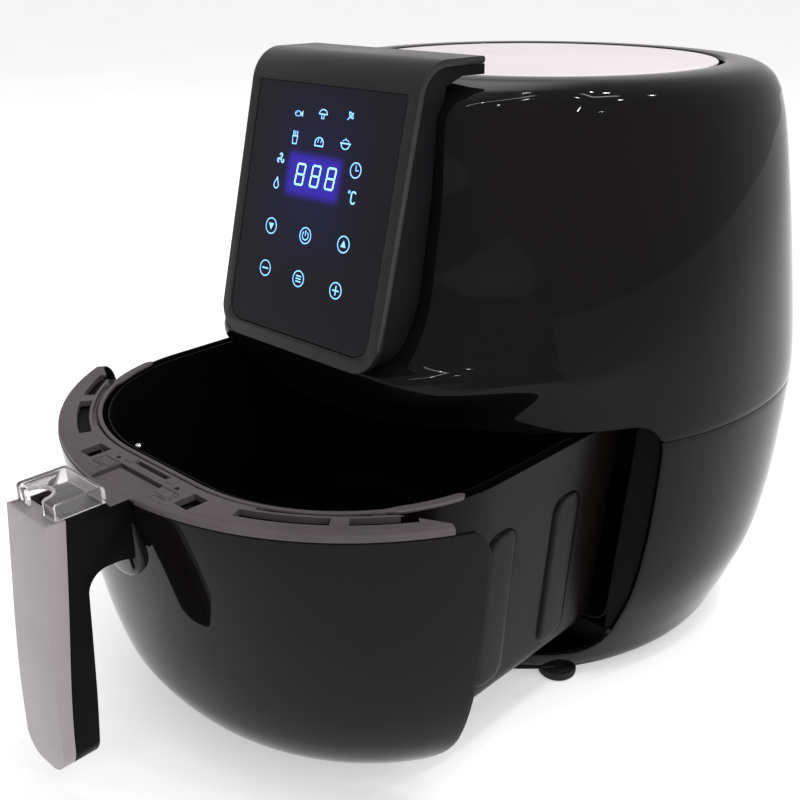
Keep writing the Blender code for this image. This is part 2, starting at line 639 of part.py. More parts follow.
def make_fan():
    disc_radius, blades, lean = 0.046, (0.014, 0.0445), 0.004

    def bladed(name, hub, disc, height, count, material):
        """A bored hub on a disc, with upright blades joined to it."""
        profile = [(0.0043, hub[0]), (0.0043, hub[1]), (0.0090, hub[1]), (0.0090, disc[1])]
        profile += [(disc_radius, disc[1]), (disc_radius, disc[0]), (0.0090, disc[0]), (0.0090, hub[0])]
        wheel = turned(name, profile, material, FAN, 24, hollow=True)
        points, faces = [], []
        for k in range(count):
            turn = Matrix.Rotation(math.tau * k / count, 4, "Z")
            first = len(points)
            for z, shift in ((height[0], lean), (height[1], 0.0)):
                foot, tip = blades
                for x, y in ((foot, -0.0006), (tip, 0.0034), (tip, 0.0046), (foot, 0.0006)):
                    points.append(turn @ Vector((x, y + shift, z)))
            for j in range(4):
                faces.append((first + j, first + (j + 1) % 4, first + 4 + (j + 1) % 4, first + 4 + j))
            faces += [(first + 3, first + 2, first + 1, first), (first + 4, first + 5, first + 6, first + 7)]
        combine(wheel, place(name + "_blades", points, faces, None, FAN), "UNION")

    bladed("convection_fan", (0.1930, 0.2060), (0.2000, 0.2012), (0.1890, 0.2006), 10, BARE_STEEL)
    bladed("cooling_fan", (0.2170, 0.2255), (0.2175, 0.2187), (0.2181, 0.2250), 12, MATT_BLACK)
    rod("fan_shaft", 0.0040, 0.1915, 0.2480, BARE_STEEL, FAN, 16)
    rod("motor_bore", 0.0046, 0.23, 0.2500, None, FAN, 16)
    can = [(0.0270, 0.2350), (0.0300, 0.2375), (0.0300, 0.2640), (0.0270, 0.2670)]
    can += [(0.0100, 0.2670), (0.0100, 0.2710)]
    motor = turned("fan_motor", can, COPPER, FAN, 24)
    cut(motor, bpy.data.objects["motor_bore"])
    side = [(-0.060, DISH_TOP + GAP), (-0.052, DISH_TOP + GAP), (-0.052, 0.2310), (0.052, 0.2310)]
    side += [(0.052, DISH_TOP + GAP), (0.060, DISH_TOP + GAP), (0.060, 0.2335), (-0.060, 0.2335)]
    bracket = prism("motor_bracket", side, "Y", -0.018, 0.018, BARE_STEEL, FAN)
    cut(bracket, rod("bracket_hole", 0.0080, 0.22, 0.25, None, FAN, 16))


def make_power_board():
    board = box("power_board", (-0.048, 0.018, 0.2860), (0.048, 0.088, 0.2876), BOARD_GREEN, FRAME)
    parts = []  # transformer, relay, capacitor and connector: (x, y) from, (x, y) to, and lower face
    for (x0, y0), (x1, y1), bottom in (
        ((-0.040, 0.028), (-0.018, 0.048), 0.2740),
        ((0.004, 0.030), (0.026, 0.046), 0.2780),
        ((-0.030, 0.060), (0.014, 0.076), 0.2790),
        ((0.030, 0.056), (0.042, 0.080), 0.2770),
    ):
        parts.append(((x0, y0, bottom), (x1, y1, 0.2866)))
    combine(board, boxes("board_parts", parts, FRAME), "UNION")


# Drawer
def make_drawer_front():
    """The drawer's front wall: the body's outline, tucked in below, as far as the opening's edge."""
    columns = 24
    heights = [0.0196, 0.0225, 0.0270, 0.0340, 0.0460, 0.0660, 0.0920, 0.1200, 0.1400, 0.1480, 0.1540, 0.1594]
    skins = []
    for inset in (0.0, WALL):
        skin = []
        for z in heights:
            tuck = 0.0105 * (max(0.048 - z, 0.0) / 0.0284) ** 2
            size = body_size(z, inset + tuck)
            reach = front_angle(size, opening_edge(z, DRAWER_CLEARANCE))
            row = []
            for k in range(columns + 1):
                row.append(plan_point(size, reach * (2 * k / columns - 1), z))
            skin.append(row)
        skins.append(skin)
    front = slab("drawer_front", skins[0], skins[1], GLOSS_BLACK, DRAWER)
    cut(front, box("neck_notch", (-0.0160, -0.20, 0.1500), (0.0160, -0.14, 0.20), None, DRAWER))


def make_ring():
    """The slotted trim along the top of the drawer's front."""
    columns = 32
    end_y = -0.0850
    reach = front_angle(body_size(RING_TOP), end_y)
    outer, inner = [], []
    for k in range(columns + 1):
        angle = reach * (2 * k / columns - 1)
        outer.append(plan_point(body_size(RING_TOP, 0.0003), angle, 0.0)[:2])
        inner.append(tub_front_point(0.0006, angle / reach))
    rows = []
    for z in (RING_BOTTOM, RING_TOP):
        rows.append([[(x, y, z) for x, y in edge] for edge in (outer, inner)])
    ring = slab("slotted_ring", rows[1], rows[0], MATT_BLACK, DRAWER)
    for sign in (-1, 1):
        for start, end in ((22.5, 38.0), (41.0, 52.0)):
            grid = []
            for z in (RING_BOTTOM - 0.005, RING_TOP + 0.005):
                edges = []
                for inset in (0.0090, 0.0152):
                    size = body_size(RING_TOP, inset)
                    angles = [math.radians(start + (end - start) * k / 5) for k in range(6)]
                    edges.append([plan_point(size, sign * angle, z) for angle in angles])
                grid.append(edges)
            cut(ring, slab("ring_slot", grid[1], grid[0], None, DRAWER))
    recesses = []
    for low_x, high_x in ((0.0315, 0.0405), (-0.0405, -0.0315)):
        recesses.append(((low_x, -0.1487, 0.15), (high_x, -0.1376, 0.17)))
    cut(ring, boxes("ring_recesses", recesses, DRAWER))
    cut(ring, box("neck_recess", (-0.0162, -0.17, 0.15), (0.0162, -0.1425, 0.17), None, DRAWER))


def tub_front_point(offset, share):
    """A point on the front of the pan's outline. Share runs from -1 at the left side to 1 at the right."""
    half, front, radius = PAN_HALF + offset, PAN_FRONT - offset, PAN_FRONT_RADIUS + offset
    flat = half - radius
    end_degrees = 55.0
    arc_length = radius * math.radians(end_degrees)
    along = abs(share) * (flat + arc_length)
    if along < flat:
        point = (along, front)
    else:
        turn = (along - flat) / radius
        point = (flat + radius * math.sin(turn), front + radius * (1 - math.cos(turn)))
    return (math.copysign(point[0], share), point[1])


def make_pan():
    pan = tub_shell("pan", 0.0, PAN_TOP, PAN_BOTTOM, PAN_WALL, COATED_STEEL, DRAWER)
    cut(pan, box("bracket_notch", (-0.0135, -0.15, 0.1535), (0.0135, -0.12, 0.20), None, DRAWER))
    rib_low, rib_high = 0.048, 0.134
    for centre_y in (-0.034, 0.016):
        for sign in (-1, 1):
            radius, flat = 0.008, 0.0025
            outline = arc((centre_y + flat, rib_low + radius), radius, -90, 0, 3)
            outline += arc((centre_y + flat, rib_high - radius), radius, 0, 90, 3)
            outline += arc((centre_y - flat, rib_high - radius), radius, 90, 180, 3)
            outline += arc((centre_y - flat, rib_low + radius), radius, 180, 270, 3)
            rings = []
            for proud in (-0.0006, 0.0016):
                rings.append([(sign * (PAN_HALF + tub_inset(z) + proud), y, z) for y, z in outline])
            combine(pan, loft("pan_rib", rings, None, DRAWER), "UNION")


def make_basket():
    basket = tub_shell("basket", -0.0055, PAN_TOP - GAP, 0.0440, 0.0008, COATED_STEEL, DRAWER)
    step = 0.036
    holes = []
    for i in range(-2, 3):
        for j in range(-3, 4):
            x, y = i * step, -0.0165 + j * 0.022
            holes.append(((x - 0.0100, y - 0.0030, 0.03), (x + 0.0100, y + 0.0030, 0.06)))
    cut(basket, boxes("basket_holes", holes, DRAWER))
    tab = [(-0.1432, 0.1562), (-0.1301, 0.1562), (-0.1301, 0.1430), (-0.1286, 0.1430)]
    tab += [(-0.1286, 0.1592), (-0.1432, 0.1592)]
    bracket = prism("basket_bracket", tab, "X", -0.0118, 0.0118, MATT_BLACK, DRAWER)
    for name, x in (("bracket_rivet_left", -0.0070), ("bracket_rivet_right", 0.0070)):
        cut(basket, rod("rivet_hole", 0.0021, -0.14, -0.12, None, DRAWER, 10, "Y", at=(x, 0.0, 0.1490)))
        cut(bracket, rod("rivet_hole", 0.0021, -0.14, -0.12, None, DRAWER, 10, "Y", at=(x, 0.0, 0.1490)))
        profile = [(0.0017, -0.1299), (0.0017, -0.1253), (0.0034, -0.1253), (0.0026, -0.1240)]
        turned(name, profile, BARE_STEEL, DRAWER, 12, "Y", (x, 0.0, 0.1490))


# Handle, with its release button. Side views are in (y, z).
GRIP_SPLIT = [(-0.1878, 0.1640), (-0.1914, 0.1269), (-0.1958, 0.0853), (-0.1977, 0.0587), (-0.1985, 0.0300)]
COVER_FRONT = [(-0.1971, 0.1646), (-0.1988, 0.1443), (-0.2022, 0.1041), (-0.2038, 0.0752), (-0.2045, 0.0300)]


def handle_outline(half, bottom):
    """The handle's front view, round at its lower end, in (x, z)."""
    return [(half, 0.20), (-half, 0.20)] + arc((0.0, bottom + half), half, 180, 360, 12)


def make_handle():
    under = arc((-0.1724, 0.1262), 0.0100, 90, 180, 5)
    inner_side = [(-0.1436, 0.1604), (-0.1436, 0.1508), (-0.1592, 0.1508), (-0.1572, 0.1350)]
    inner_side += [(-0.1560, 0.1270), (-0.1585, 0.1262), (-0.1620, 0.1330), (-0.1665, 0.1362)] + under
    inner_side += [(-0.1832, 0.1085), (-0.1847, 0.0789), (-0.1861, 0.0594), (-0.1885, 0.0300)]
    side = GRIP_SPLIT[::-1] + [(-0.1693, 0.1640), (-0.1682, 0.1622), (-0.1590, 0.1622), (-0.1578, 0.1604)]
    side += inner_side
    grip = prism("handle_grip", side, "X", -HANDLE_HALF, HANDLE_HALF, MATT_BLACK, DRAWER)
    outline = handle_outline(HANDLE_HALF + 0.0001, HANDLE_BOTTOM)
    combine(grip, prism("grip_outline", outline, "Y", -0.25, -0.10, None, DRAWER), "INTERSECT")
    cut(grip, box("button_pocket", (-0.0092, -0.1862, 0.1500), (0.0092, -0.1698, 0.20), None, DRAWER))
    cut(grip, box("latch_channel", (-0.0060, -0.1700, 0.1523), (0.0060, -0.1300, 0.1557), None, DRAWER))

    side = COVER_FRONT[::-1] + [(y - GAP, z) for y, z in GRIP_SPLIT]
    cover = prism("handle_cover", side, "X", -HANDLE_HALF, HANDLE_HALF, SILVER, DRAWER)
    combine(cover, prism("cover_outline", outline, "Y", -0.25, -0.10, None, DRAWER), "INTERSECT")
    cover_wall = 0.0022
    pocket = [(y + cover_wall, z) for y, z in COVER_FRONT[::-1]] + [(-0.15, 0.1646), (-0.15, 0.03)]
    pocket = [(y, min(z, 0.1640 - cover_wall)) for y, z in pocket]
    hollow = prism("cover_hollow", pocket, "X", -0.02, 0.02, None, DRAWER)
    inner_outline = handle_outline(HANDLE_HALF - cover_wall, HANDLE_BOTTOM + cover_wall)
    combine(hollow, prism("hollow_outline", inner_outline, "Y", -0.25, -0.10, None, DRAWER), "INTERSECT")
    cut(cover, hollow)


BUTTON_Y = -0.1780


def make_button():
    low, high = (-0.0088, BUTTON_Y - 0.0078, 0.1545), (0.0088, BUTTON_Y + 0.0078, 0.1640)
    button = box("release_button", low, high, MATT_BLACK, DRAWER)
    soften(button, 0.0010)
    cut(button, rod("button_hollow", 0.0056, 0.15, 0.1615, None, DRAWER, 16, at=(0.0, BUTTON_Y, 0.0)))
    latch = box("release_latch", (-0.0055, -0.1660, 0.1528), (0.0055, -0.1400, 0.1552), SILVER, DRAWER)
    soften(latch, 0.0004, 1)

    turns, steps, radius = 4, 12, 0.0042
    curve = bpy.data.curves.new("button_spring", "CURVE")
    curve.dimensions = "3D"
    curve.bevel_depth = 0.0005
    curve.bevel_resolution = 0
    curve.use_fill_caps = True
    spline = curve.splines.new("POLY")
    spline.points.add(turns * steps)
    for k, point in enumerate(spline.points):
        turn = math.tau * k / steps
        height = 0.1510 + 0.0066 * k / (turns * steps)
        point.co = (radius * math.cos(turn), radius * math.sin(turn), height, 1.0)
    curve.materials.append(BARE_STEEL)
    spring = bpy.data.objects.new("button_spring", curve)
    spring.location = (0.0, BUTTON_Y, 0.0)
    spring.parent = DRAWER
    bpy.context.scene.collection.objects.link(spring)


def make_guard():
    """The clear cover over the button: a box open below, with a round thumb cut-out at its front."""
    low, high = (-0.0143, -0.1925, 0.1644), (0.0143, -0.1690, 0.1722)
    guard = box("button_guard", low, high, CLEAR, DRAWER)
    soften(guard, 0.0008, 1)
    wall = 0.0013
    inside_low = (low[0] + wall, low[1] + wall, low[2] - 0.01)
    inside_high = (high[0] - wall, high[1] - wall, high[2] - wall)
    cut(guard, box("guard_inside", inside_low, inside_high, None, DRAWER))
    cut(guard, rod("thumb_cutter", 0.0075, 0.16, 0.18, None, DRAWER, 20, at=(0.0, low[1], 0.0)))


OPENING_CUTTER = make_opening_cutter()
make_upper_housing()
make_lower_housing()
make_base()
make_top_disc()
make_rear_vent()
make_cord_inlet()
make_control_panel()
make_drawer_frame()
make_inner_liner()
make_microswitch()
make_heater()
make_fan()
make_power_board()
make_drawer_front()
make_ring()
make_pan()
make_basket()
make_handle()
make_button()
make_guard()
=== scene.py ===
"""The looks of the air fryer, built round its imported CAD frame.

Sizes are in metres. Points of the body are given from its centre line, and points of the drawer as it sits
when it is shut: BODY and DRAWER are the shifts that bring them to where the frame has them.
"""

import math

import bmesh
import bpy
import numpy as np
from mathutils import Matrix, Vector


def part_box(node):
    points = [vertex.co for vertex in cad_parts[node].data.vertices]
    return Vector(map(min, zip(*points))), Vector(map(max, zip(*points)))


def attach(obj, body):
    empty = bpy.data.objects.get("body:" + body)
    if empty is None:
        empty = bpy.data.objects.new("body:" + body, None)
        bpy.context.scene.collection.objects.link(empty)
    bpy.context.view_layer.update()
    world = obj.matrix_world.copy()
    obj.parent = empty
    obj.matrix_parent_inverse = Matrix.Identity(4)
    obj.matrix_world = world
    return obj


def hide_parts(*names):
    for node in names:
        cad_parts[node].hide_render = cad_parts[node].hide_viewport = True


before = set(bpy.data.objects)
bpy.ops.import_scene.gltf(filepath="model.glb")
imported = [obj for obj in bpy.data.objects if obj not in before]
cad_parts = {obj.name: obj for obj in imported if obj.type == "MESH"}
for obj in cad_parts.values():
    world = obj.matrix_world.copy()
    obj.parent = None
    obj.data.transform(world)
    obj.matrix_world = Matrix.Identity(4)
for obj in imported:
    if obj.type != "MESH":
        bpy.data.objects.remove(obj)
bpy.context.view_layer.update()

# Driving dimensions, as the CAD has them
PROFILE = [  # (height, half of the body's width there, half of its depth)
    (0.0055, 0.1235, 0.1250),
    (0.0100, 0.1268, 0.1280),
    (0.0200, 0.1310, 0.1315),
    (0.0350, 0.1372, 0.1350),
    (0.0600, 0.1455, 0.1415),
    (0.0900, 0.1500, 0.1475),
    (0.1200, 0.1517, 0.1530),
    (0.1500, 0.1520, 0.1580),
    (0.1650, 0.1512, 0.1588),
    (0.2000, 0.1467, 0.1540),
    (0.2500, 0.1390, 0.1460),
    (0.2900, 0.1314, 0.1380),
    (0.3060, 0.1268, 0.1331),
]
POWER = 2.085
DEPTH_RATIO = 1.05
BASE_Z, SEAM_Z = 0.0055, 0.1524
EDGE_Y = -0.0700
OPENING_BOTTOM, OPENING_TOP = 0.0185, 0.1632
BOTTOM_RADIUS, TOP_RADIUS = 0.016, 0.016
BACK_Y, PAN_BACK = 0.1588, 0.1000
PANEL_TILT = math.radians(-14.0)
PANEL_FOOT = Vector((0.0, -0.1860, 0.1957))

SMOOTH_ANGLE = 35.0  # edges sharper than this many degrees stay sharp
SHELL_SMOOTH = 42.0
SHELL_WALL = 0.0024
EDGE_WIDTH = 0.0005

_, housing_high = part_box("upper_housing")
_, pan_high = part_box("pan")
BODY = Vector((0.0, housing_high.y - BACK_Y, 0.0))
DRAWER = Vector((0.0, pan_high.y - PAN_BACK, 0.0))
SHIFTS = {"body": BODY, "drawer": DRAWER, "release_button": DRAWER, "button_guard": DRAWER}


# ---------------------------------------------------------------- materials
class Shading:
    """A material's nodes, made one after another."""

    def __init__(self, name):
        self.material = bpy.data.materials.new(name)
        self.material.use_nodes = True
        self.nodes = self.material.node_tree.nodes
        self.links = self.material.node_tree.links
        self.shader = self.nodes["Principled BSDF"]
        self.place = self.nodes.new("ShaderNodeTexCoord").outputs["Object"]

    def set(self, **values):
        for name, value in values.items():
            self.shader.inputs[name.replace("_", " ")].default_value = value
        return self

    def node(self, kind, *sources, **values):
        """A node with its first inputs linked to the sources, and others set to the values."""
        node = self.nodes.new(f"ShaderNode{kind}")
        for name, value in values.items():
            node.inputs[name].default_value = value
        for socket, source in zip(node.inputs, sources):
            self.links.new(source, socket)
        return node

    def noise(self, scale, detail=3.0, rough=0.55, stretch=None, distortion=0.0):
        place = self.node("Mapping", self.place, Scale=stretch).outputs["Vector"] if stretch else self.place
        values = {"Scale": scale, "Detail": detail, "Roughness": rough, "Distortion": distortion}
        return self.node("TexNoise", place, **values).outputs["Fac"]

    def ramp(self, fac, low, high, start=0.3, end=0.7):
        """Turns a pattern into a range of values, or of colours."""
        node = self.node("ValToRGB", fac)
        node.color_ramp.elements[0].position = start
        node.color_ramp.elements[1].position = end
        for element, value in zip(node.color_ramp.elements, (low, high)):
            element.color = (*value, 1.0) if isinstance(value, tuple) else (value, value, value, 1.0)
        return node.outputs["Color"]

    def drive(self, socket, source):
        self.links.new(source, self.shader.inputs[socket])

    def bump(self, source, distance, strength=1.0):
        node = self.node("Bump", Distance=distance, Strength=strength)
        self.links.new(source, node.inputs["Height"])
        previous = self.shader.inputs["Normal"].links
        if previous:
            self.links.new(previous[0].from_socket, node.inputs["Normal"])
        self.links.new(node.outputs["Normal"], self.shader.inputs["Normal"])


def scaled(colour, factor):
    return tuple(c * factor for c in colour)


def gloss_plastic(name, colour, rough_low, rough_high, shine=0.12):
    s = Shading(name).set(IOR=1.5, Specular_IOR_Level=shine)
    s.drive("Base Color", s.ramp(s.noise(9.0, 4.0), colour, scaled(colour, 1.35)))
    smears = s.noise(22.0, 5.0, 0.62, (1.0, 1.0, 0.35), 0.6)
    s.drive("Roughness", s.ramp(smears, rough_low, rough_high, 0.42, 0.78))
    s.bump(s.noise(900.0, 2.0), 0.00002, 0.10)
    return s.material


def matt_plastic(name, colour, rough_low, rough_high, grain=0.00006, scale=1500.0, shine=0.3):
    """Moulded plastic with a fine spark-eroded grain."""
    s = Shading(name).set(IOR=1.48, Specular_IOR_Level=shine)
    s.drive("Base Color", s.ramp(s.noise(40.0, 4.0), colour, scaled(colour, 1.25)))
    s.drive("Roughness", s.ramp(s.noise(60.0, 3.0), rough_low, rough_high))
    s.bump(s.noise(scale, 3.0, 0.7), grain, 0.5)
    return s.material


def silver_paint(name, colour, metallic, rough_low, rough_high):
    """Plastic sprayed with silver lacquer: a fine flake under a satin film."""
    s = Shading(name).set(Metallic=metallic, Coat_Weight=0.25, Coat_Roughness=0.25)
    flake = s.noise(2600.0, 2.0, 0.8)
    s.drive("Base Color", s.ramp(flake, scaled(colour, 0.90), colour, 0.35, 0.65))
    s.drive("Roughness", s.ramp(s.noise(30.0, 4.0), rough_low, rough_high))
    s.bump(flake, 0.00002, 0.25)
    return s.material


def metal(name, colour, rough_low, rough_high, stretch=(1.0, 1.0, 30.0)):
    """Rolled sheet with faint marks along one direction."""
    s = Shading(name).set(Metallic=1.0)
    marks = s.noise(60.0, 5.0, 0.6, stretch)
    s.drive("Base Color", s.ramp(marks, scaled(colour, 0.82), colour))
    s.drive("Roughness", s.ramp(marks, rough_low, rough_high))
    s.bump(marks, 0.00003, 0.3)
    return s.material


BODY_GLOSS = gloss_plastic("body_gloss", (0.0034, 0.0028, 0.0032), 0.035, 0.085)
PAD_GLOSS = gloss_plastic("pad_gloss", (0.0040, 0.0036, 0.0042), 0.10, 0.16, 0.35)
PANEL_SATIN = gloss_plastic("panel_satin", (0.010, 0.009, 0.0095), 0.22, 0.30, 0.30)
BLOCK_BLACK = matt_plastic("block_black", (0.0050, 0.0045, 0.0054), 0.42, 0.54, shine=0.08)
HANDLE_BLACK = matt_plastic("handle_black", (0.0022, 0.0018, 0.0022), 0.28, 0.40, shine=0.05)
RING_GREY = matt_plastic("ring_grey", (0.066, 0.056, 0.062), 0.42, 0.52, 0.00005, 1100.0)
INNER_BLACK = matt_plastic("inner_black", (0.005, 0.005, 0.0055), 0.55, 0.70, shine=0.15)
FOOT_RUBBER = matt_plastic("foot_rubber", (0.012, 0.012, 0.012), 0.75, 0.88, 0.0001, 800.0)
HANDLE_SILVER = silver_paint("handle_silver", (0.275, 0.250, 0.258), 0.20, 0.34, 0.44)
DISC_SILVER = silver_paint("disc_silver", (0.84, 0.78, 0.80), 0.15, 0.34, 0.44)
STEEL = metal("steel", (0.60, 0.59, 0.57), 0.28, 0.42)
HOT_STEEL = metal("heater_steel", (0.30, 0.27, 0.25), 0.35, 0.55, (6.0, 6.0, 6.0))
COPPER = metal("copper_windings", (0.60, 0.28, 0.14), 0.35, 0.50, (1.0, 1.0, 60.0))
RIVET_STEEL = metal("rivet_steel", (0.85, 0.85, 0.86), 0.08, 0.16, (4.0, 4.0, 4.0))


def coated_steel(name, colour, rough_low, rough_high, shine):
    """Sheet steel under a non-stick coat, which is speckled and slightly wavy."""
    s = Shading(name).set(IOR=1.5, Specular_IOR_Level=shine)
    speck = s.noise(1900.0, 2.0, 0.9)
    s.drive("Base Color", s.ramp(speck, colour, scaled(colour, 1.6), 0.62, 0.80))
    s.drive("Roughness", s.ramp(s.noise(35.0, 4.0, 0.6, (1.0, 1.0, 0.3)), rough_low, rough_high))
    s.bump(s.noise(1300.0, 2.0), 0.00002, 0.12)
    s.bump(s.noise(14.0, 2.0), 0.0006, 0.25)
    return s.material


PAN_COAT = coated_steel("pan_coat", (0.0032, 0.0024, 0.0020), 0.24, 0.34, 0.07)
BASKET_COAT = coated_steel("basket_coat", (0.0022, 0.0022, 0.0022), 0.55, 0.70, 0.10)
# Painted shade: the liner inside the body is coloured near black to stand in for the shadow that fills the
# body's inside.
LINER_PAINTED_SHADE = matt_plastic("liner_painted_shade", (0.004, 0.0038, 0.0042), 0.45, 0.60)


def board_green():
    s = Shading("circuit_board").set(Roughness=0.4)
    cells = s.node("TexVoronoi", s.place, Scale=220.0)
    s.drive("Base Color", s.ramp(cells.outputs["Distance"], (0.01, 0.10, 0.04), (0.03, 0.20, 0.08)))
    return s.material


BOARD = board_green()


def clear_plastic():
    s = Shading("clear_plastic").set(IOR=1.40, Transmission_Weight=0.96, Base_Color=(0.96, 0.94, 0.96, 1.0))
    s.drive("Roughness", s.ramp(s.noise(80.0, 3.0), 0.02, 0.07))
    return s.material


CLEAR = clear_plastic()
CLEAR_EDGE = matt_plastic("clear_edge", (0.55, 0.53, 0.55), 0.12, 0.20)

GLOW_CENTRE = (-0.0027, 0.0825)  # middle of the digits on the panel, across and up
GLOW_HALF = (0.0150, 0.0068)


def panel_point(x, up, depth=0.0):
    """A point of the control panel's face: across, up the slope, and behind the face."""
    y = PANEL_FOOT.y + up * math.sin(-PANEL_TILT) + depth * math.cos(PANEL_TILT)
    z = PANEL_FOOT.z + up * math.cos(PANEL_TILT) + depth * math.sin(PANEL_TILT)
    return Vector((x, y, z))


def display_glass():
    """Dark glass that glows blue round the digits, and very faintly further out."""
    s = Shading("display_glass").set(IOR=1.5, Specular_IOR_Level=0.22, Emission_Color=(0.07, 0.03, 0.95, 1.0))
    s.drive("Base Color", s.ramp(s.noise(30.0), (0.0045, 0.0048, 0.0075), (0.0055, 0.0058, 0.0095)))
    s.drive("Roughness", s.ramp(s.noise(50.0, 4.0), 0.10, 0.16))
    offset = s.node("VectorMath", s.place)
    offset.operation = "SUBTRACT"
    offset.inputs[1].default_value = panel_point(*GLOW_CENTRE) + BODY
    turned_back = s.node("Mapping", offset.outputs[0], Rotation=(-PANEL_TILT, 0.0, 0.0))
    parts = s.node("SeparateXYZ", turned_back.outputs["Vector"])

    def combine(operation, *sources):
        node = s.node("Math", *sources)
        node.operation = operation
        return node

    def falloff(axis, flat, fade):
        """Full strength up to a distance from the centre, then none from a larger one."""
        distance = combine("ABSOLUTE", parts.outputs[axis]).outputs[0]
        limits = {"From Min": flat, "From Max": fade, "To Min": 1.0, "To Max": 0.0}
        spread = s.node("MapRange", distance, **limits)
        spread.interpolation_type = "SMOOTHERSTEP"
        return spread.outputs["Result"]

    def glow(across, up, strength):
        both = combine("MULTIPLY", across, up).outputs[0]
        weakened = combine("MULTIPLY", both)
        weakened.inputs[1].default_value = strength
        return weakened.outputs[0]

    full_inside, gone_outside = 0.001, 0.006
    edges = [falloff(axis, half - full_inside, half + gone_outside) for axis, half in zip("XZ", GLOW_HALF)]
    near = glow(*edges, 0.42)
    wide = glow(falloff("X", 0.0, 0.050), falloff("Z", 0.0, 0.060), 0.030)
    s.drive("Emission Strength", combine("ADD", near, wide).outputs[0])
    return s.material


GLASS = display_glass()


def light_ink(name, colour, strength):
    """Printed symbols that are lit from behind, with slightly uneven light."""
    s = Shading(name).set(Roughness=0.4, Emission_Strength=strength)
    s.drive("Base Color", s.ramp(s.noise(400.0), scaled(colour, 0.3), scaled(colour, 0.4)))
    s.drive("Emission Color", s.ramp(s.noise(500.0, 2.0), scaled(colour, 0.75), colour, 0.35, 0.6))
    return s.material


SYMBOL_BLUE = light_ink("symbol_light", (0.20, 0.50, 1.0), 2.0)
DIGIT_BLUE = light_ink("digit_light", (0.26, 0.78, 1.0), 2.6)


# ---------------------------------------------------------------- mesh helpers
def new_piece(name, points, faces, material, body, smooth=SMOOTH_ANGLE):
    """A mesh that rides on a body, and whose points are moved by that body's shift."""
    mesh = bpy.data.meshes.new(name)
    shift = SHIFTS[body]
    moved = [(p[0] + shift.x, p[1] + shift.y, p[2] + shift.z) for p in points]
    mesh.from_pydata(moved, [], faces)
    mesh.materials.append(material)
    work = bmesh.new()
    work.from_mesh(mesh)
    bmesh.ops.remove_doubles(work, verts=work.verts, dist=1e-6)
    bmesh.ops.recalc_face_normals(work, faces=work.faces)
    work.to_mesh(mesh)
    work.free()
    if smooth:
        mesh.shade_smooth()
        mesh.set_sharp_from_angle(angle=math.radians(smooth))
    piece = bpy.data.objects.new(name, mesh)
    bpy.context.scene.collection.objects.link(piece)
    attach(piece, body)
    return piece


def stands_for(piece, node):
    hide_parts(node)


def solidify(piece, thickness):
    """Adds a wall that grows inwards from the skin."""
    shell = piece.modifiers.new("wall", "SOLIDIFY")
    shell.thickness = thickness
    shell.offset = -1.0


def bevel(piece, width, segments=3, angle=40.0):
    edge = piece.modifiers.new("rounded_edges", "BEVEL")
    edge.width = width
    edge.segments = segments
    edge.limit_method = "ANGLE"
    edge.angle_limit = math.radians(angle)


def boolean(piece, other, operation="DIFFERENCE"):
    change = piece.modifiers.new(other.name, "BOOLEAN")
    change.operation = operation
    change.object = other
    change.solver = "EXACT"
    other.hide_render = True
    other.hide_viewport = True


def apply_modifiers(piece, smooth=SMOOTH_ANGLE):
    """Fixes the modifiers' result in the mesh, and removes the cutters."""
    cutters = [m.object for m in piece.modifiers if m.type == "BOOLEAN"]
    for cutter in cutters:
        cutter.hide_viewport = False
    graph = bpy.context.evaluated_depsgraph_get()
    graph.update()
    mesh = bpy.data.meshes.new_from_object(piece.evaluated_get(graph))
    piece.modifiers.clear()
    piece.data = mesh
    mesh.shade_smooth()
    mesh.set_sharp_from_angle(angle=math.radians(smooth))
    for cutter in set(cutters):
        bpy.data.objects.remove(cutter)


def finish(piece, width, segments=3, angle=40.0, smooth=40.0):
    """Rounds the edges last, and fixes everything in the mesh."""
    bevel(piece, width, segments, angle)
    apply_modifiers(piece, smooth)


def grid_faces(rows, columns, closed=False):
    faces = []
    for i in range(rows - 1):
        for j in range(columns if closed else columns - 1):
            k = (j + 1) % columns
            a, b = i * columns, (i + 1) * columns
            faces.append((a + j, a + k, b + k, b + j))
    return faces


def loft_faces(rows, count, capped=True):
    faces = grid_faces(rows, count, closed=True)
    if capped:
        faces.append(tuple(range(count - 1, -1, -1)))
        faces.append(tuple(range((rows - 1) * count, rows * count)))
    return faces


def loft(name, rings, material, body, capped=True, smooth=SMOOTH_ANGLE):
    """A skin over closed rings that have the same number of points."""
    points = [p for ring in rings for p in ring]
    return new_piece(name, points, loft_faces(len(rings), len(rings[0]), capped), material, body, smooth)


def along_axis(axis, along, u, v):
    return {"X": (along, u, v), "Y": (u, along, v), "Z": (u, v, along)}[axis]


def prism(name, outline, axis, start, end, material, body):
    rings = [[along_axis(axis, along, u, v) for u, v in outline] for along in (start, end)]
    return loft(name, rings, material, body)


def turned(name, profile, material, body, at, sides=64):
    """A profile of (radius, height) turned round an upright axis at a place in plan."""
    rings = []
    for radius, z in profile:
        turns = [math.tau * k / sides for k in range(sides)]
        rings.append([(radius * math.cos(t) + at[0], radius * math.sin(t) + at[1], z) for t in turns])
    return loft(name, rings, material, body)


def arc(centre, radius, start, end, steps):
    turns = [math.radians(start + (end - start) * k / steps) for k in range(steps + 1)]
    return [(centre[0] + radius * math.cos(t), centre[1] + radius * math.sin(t)) for t in turns]


